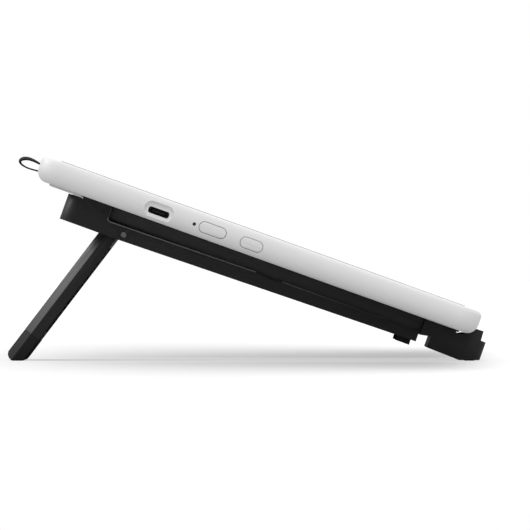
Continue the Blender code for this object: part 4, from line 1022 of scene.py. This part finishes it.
class PENDISPLAY_OT_rubber(bpy.types.Operator):
    """Pads, feet and strips, with their grip ridges"""
    bl_idname = "pendisplay.rubber"
    bl_label = "Rubber pieces"

    def execute(self, context):
        edge = stand_sizes().rubber_edge
        for kind in ("rear_rest_pad", "front_lip_pad", "front_sole_pad", "flat_foot"):
            for side in ("left", "right"):
                width = edge * 0.5 if kind == "front_lip_pad" else edge
                soft_copy(f"{kind}_{side}", "rubber", width, *RUBBER)
        for node in ("rear_foot_strip", "front_foot_strip"):
            soft_copy(node, "silicone", edge, "cast_white_silicone", "tablet", "white_foot")
        count = stand_sizes().pad_ridges
        for side in ("left", "right"):
            x, u, v = slope_box(f"rear_rest_pad_{side}")
            pitch = (x[1] - x[0] - 4 * MM) / (count - 1)
            ridge = slope_block(f"rest_pad_ridges_{side}", (x[0] + 1.5 * MM, x[0] + 2.5 * MM),
                                grown(u, -0.6 * MM), (v[1] - 0.1 * MM, v[1] + 0.2 * MM))
            soften(ridge, 0.12 * MM, 1)
            repeat(ridge, count, (pitch, 0, 0), "moulded_black_rubber")
            settle(ridge, *RUBBER)
        return {"FINISHED"}


class PENDISPLAY_OT_leg(bpy.types.Operator):
    """Folding leg with its pockets, chamfered edge and rubber shoe"""
    bl_idname = "pendisplay.leg"
    bl_label = "Leg"

    def execute(self, context):
        panel = frame_copy("leg_moulding", "leg_panel")
        settle(soften(panel, stand_sizes().edge), "spark_textured_black_abs", "leg", "black_moulding",
               ["leg_panel"])
        shoe = frame_copy("leg_rubber_shoe", "leg_shoe")
        settle(soften(shoe, stand_sizes().rubber_edge), "moulded_black_rubber", "leg", "black_rubber",
               ["leg_shoe"])
        settle(self.gasket(), "moulded_black_rubber", "leg", "black_rubber")
        return {"FINISHED"}

    def gasket(self):
        """Thin band that closes the seam between the leg and its shoe, just inside their faces."""
        down = Vector((0, math.sin(LEG_LEAN), -math.cos(LEG_LEAN)))
        back = Vector((0, math.cos(LEG_LEAN), math.sin(LEG_LEAN)))
        inset, chamfer = 0.12 * MM, 3.6 * MM
        shoe, panel = ([vertex.co - HINGE for vertex in frame["nodes"][node].data.vertices]
                       for node in ("leg_shoe", "leg_panel"))
        seam = min(point.dot(down) for point in shoe)
        wide = max(point.x for point in shoe) - inset
        rear = max(point.dot(back) for point in panel) - inset
        front = min(point.dot(back) for point in panel) + inset
        outline = ((-wide, front), (wide, front), (wide, rear - chamfer), (wide - chamfer, rear),
                   (-wide + chamfer, rear), (-wide, rear - chamfer))
        rings = [[HINGE + Vector((x, 0, 0)) + back * t + down * reach for x, t in outline]
                 for reach in (seam - 0.4 * MM, seam + 0.1 * MM)]
        return loft("leg_seam_gasket", rings)


class PENDISPLAY_OT_hinge(bpy.types.Operator):
    """Hinge plates, pins, washers and the domed rivets that show on the rails"""
    bl_idname = "pendisplay.hinge"
    bl_label = "Hinge hardware"

    def execute(self, context):
        kinds = (("hinge_plate", 0.15, "phosphated_steel", 1), ("hinge_rivet", 0.3, "black_oxide_steel", 2),
                 ("hinge_pin", 0.2, "black_oxide_steel", 2), ("friction_washer", 0.1, "black_oxide_steel", 2),
                 ("tie_bar", 0.15, "zinc_plated_steel", 1))
        for side in ("left", "right"):
            for kind, width, steel, segments in kinds:
                soft_copy(f"{kind}_{side}", "steel", width * MM, steel, "stand", "steel_hardware", segments)
        return {"FINISHED"}


class PENDISPLAY_OT_inner(bpy.types.Operator):
    """Materials for the pieces inside the shell and the block, which keep their frame shapes"""
    bl_idname = "pendisplay.inner"
    bl_label = "Inner pieces"

    def execute(self, context):
        kinds = {
            "etched_cover_glass": ("display_panel",),
            "rolled_aluminium": ("backlight_tray", "shield_plate"),
            "solder_masked_board": ("digitizer_board", "main_board"),
            "drawn_stainless": ("processor_shield",),
            "spark_textured_black_abs": ("power_switch", "function_switch", "loop_anchor"),
            "smoked_lamp_lens": ("status_light_pipe",),
            "zinc_plated_steel": tuple(name for name in frame["nodes"] if name.startswith("crossbar_bolt")),
        }
        for material, nodes in kinds.items():
            for name in nodes:
                obj = frame["nodes"][name]
                obj.data.materials.clear()
                obj.data.materials.append(finish(material))
        return {"FINISHED"}


# ---- stage and camera

class PENDISPLAY_OT_stage(bpy.types.Operator):
    """Pale floor that falls away gently on one side and rises on the other, soft light and the camera"""
    bl_idname = "pendisplay.stage"
    bl_label = "Stage"

    def execute(self, context):
        self.floor()
        self.light()
        self.camera()
        return {"FINISHED"}

    def floor(self):
        """Flat under the stand, with a gentle slope down on the near side and up on the far side."""
        flat, apron, drop, far, below_feet = STAND_HALF + 2 * MM, 380 * MM, 34 * MM, 4.0, 0.05 * MM
        stations = [(-far, -drop), (-flat - apron, -drop), (-flat, 0.0)]
        stations += [(-x, -z) for x, z in reversed(stations)]
        bm = bmesh.new()
        rows = [[bm.verts.new((x, y, z - below_feet)) for x, z in stations] for y in (-far, far)]
        for i in range(len(stations) - 1):
            bm.faces.new((rows[0][i], rows[0][i + 1], rows[1][i + 1], rows[1][i]))
        floor = put("studio_floor", bm)
        floor.data.materials.append(self.paper())

    def paper(self):
        """White acrylic floor with a painted glow that only the camera sees, strongest under the stand, which
        paints its shadows paler.

        It throws back less light than it shows, so that the object's undersides stay shaded."""
        material, tree, shader, place = surface("camera_glow_acrylic", Roughness=0.9, Specular_IOR_Level=0.0)
        tinted(tree, shader, place, linear("#FDFDFD"), 300 * MM, 0.004, 0.9, 0.02)
        glow = add(tree, "ShaderNodeEmission", {"Color": (1.0, 1.0, 1.0, 1.0), "Strength": 1.0})
        parts = add(tree, "ShaderNodeSeparateXYZ", {"Vector": place})
        across = add(tree, "ShaderNodeMath", {0: parts.outputs["X"]}, operation="ABSOLUTE")
        # painted light: the camera sees a share of glow in the floor's colour, more under the stand than beside
        # it, which paints its shadow paler
        start, shadow_lift_in_middle, shadow_lift_at_sides = STAND_HALF + 2 * MM, 0.58, 0.38
        lit = add(tree, "ShaderNodeMapRange", {"Value": across, "From Min": start, "From Max": start + 10 * MM,
                                               "To Min": shadow_lift_in_middle, "To Max": shadow_lift_at_sides})
        seen = add(tree, "ShaderNodeMixShader", {0: lit, 1: shader, 2: glow})
        bounce = add(tree, "ShaderNodeBsdfDiffuse", {"Color": linear("#B5B5B5")})
        path = add(tree, "ShaderNodeLightPath")
        both = add(tree, "ShaderNodeMixShader", {0: path.outputs["Is Camera Ray"], 1: bounce, 2: seen})
        feed(tree.nodes["Material Output"], "Surface", both)
        return material

    def light(self):
        """White room, brighter overhead than at the horizon, and a rear softbox for the raking shine."""
        world = bpy.data.worlds.new("soft_white_room")
        bpy.context.scene.world = world
        world.use_nodes = True
        tree = world.node_tree
        way = add(tree, "ShaderNodeTexCoord").outputs["Generated"]
        height = add(tree, "ShaderNodeSeparateXYZ", {"Vector": way}).outputs["Z"]
        horizon, overhead = 0.59, 1.50
        glow = add(tree, "ShaderNodeMapRange", {"Value": height, "To Min": horizon, "To Max": overhead})
        path = add(tree, "ShaderNodeLightPath")
        strength = add(tree, "ShaderNodeMix", {"Factor": path.outputs["Is Camera Ray"], "A": glow, "B": 1.0})
        feed(tree.nodes["Background"], "Strength", strength)
        feed(tree.nodes["Background"], "Color", (1.0, 1.0, 1.0, 1.0))
        place, aim = Vector((0.0, 2.0, 1.5)), Vector((0.0, 0.0, 0.04))
        data = bpy.data.lights.new("rear_softbox", "AREA")
        data.size = 0.8
        data.energy = 85.0
        lamp = bpy.data.objects.new("rear_softbox", data)
        lamp.location = place
        lamp.rotation_euler = (aim - place).to_track_quat("-Z", "Y").to_euler()
        lamp.visible_diffuse = False
        bpy.context.scene.collection.objects.link(lamp)

    def camera(self):
        """Long lens, square to the left edge: the screen is seen edge-on."""
        distance, frame_width, nearer_than_middle = 12.0, 252.2 * MM, 150 * MM
        aim_y, aim_z = -8.6 * MM, 45.7 * MM
        data = bpy.data.cameras.new("side_camera")
        data.sensor_width = 36.0
        data.lens = data.sensor_width * (distance - nearer_than_middle) / frame_width
        data.clip_end = 100.0
        camera = bpy.data.objects.new("side_camera", data)
        camera.location = (-distance, aim_y, aim_z)
        camera.rotation_euler = (math.pi / 2, 0.0, -math.pi / 2)
        bpy.context.scene.collection.objects.link(camera)
        bpy.context.scene.camera = camera
        bpy.context.scene.view_settings.view_transform = "Standard"


class PENDISPLAY_PT_panel(bpy.types.Panel):
    """Lists the pieces and their sizes"""
    bl_idname = "PENDISPLAY_PT_panel"
    bl_label = "Pen display"
    bl_space_type = "VIEW_3D"
    bl_region_type = "UI"
    bl_category = "Pen display"

    def draw(self, context):
        for group in (context.scene.pen_display_shell, context.scene.pen_display_stand,
                      context.scene.pen_display_colours):
            column = self.layout.column(align=True)
            for key in group.__annotations__:
                column.prop(group, key)
        for operator in OPERATORS:
            self.layout.operator(operator.bl_idname)


GROUPS = {"pen_display_shell": PenDisplayShellSizes, "pen_display_stand": PenDisplayStandSizes,
          "pen_display_colours": PenDisplayColours}
OPERATORS = (PENDISPLAY_OT_stage, PENDISPLAY_OT_shell, PENDISPLAY_OT_glass, PENDISPLAY_OT_buttons,
             PENDISPLAY_OT_port, PENDISPLAY_OT_pen_loop, PENDISPLAY_OT_screws, PENDISPLAY_OT_stand,
             PENDISPLAY_OT_ledge_edges, PENDISPLAY_OT_deck_ribs, PENDISPLAY_OT_rubber, PENDISPLAY_OT_leg,
             PENDISPLAY_OT_hinge, PENDISPLAY_OT_inner)


def register():
    for item in (*GROUPS.values(), *OPERATORS, PENDISPLAY_PT_panel):
        bpy.utils.register_class(item)
    for name, group in GROUPS.items():
        setattr(bpy.types.Scene, name, PointerProperty(type=group))


def unregister():
    for name in GROUPS:
        delattr(bpy.types.Scene, name)
    for item in reversed((*GROUPS.values(), *OPERATORS, PENDISPLAY_PT_panel)):
        bpy.utils.unregister_class(item)


def main():
    register()
    for operator in OPERATORS:
        group, name = operator.bl_idname.split(".")
        getattr(getattr(bpy.ops, group), name)()


if __name__ == "__main__":
    main()
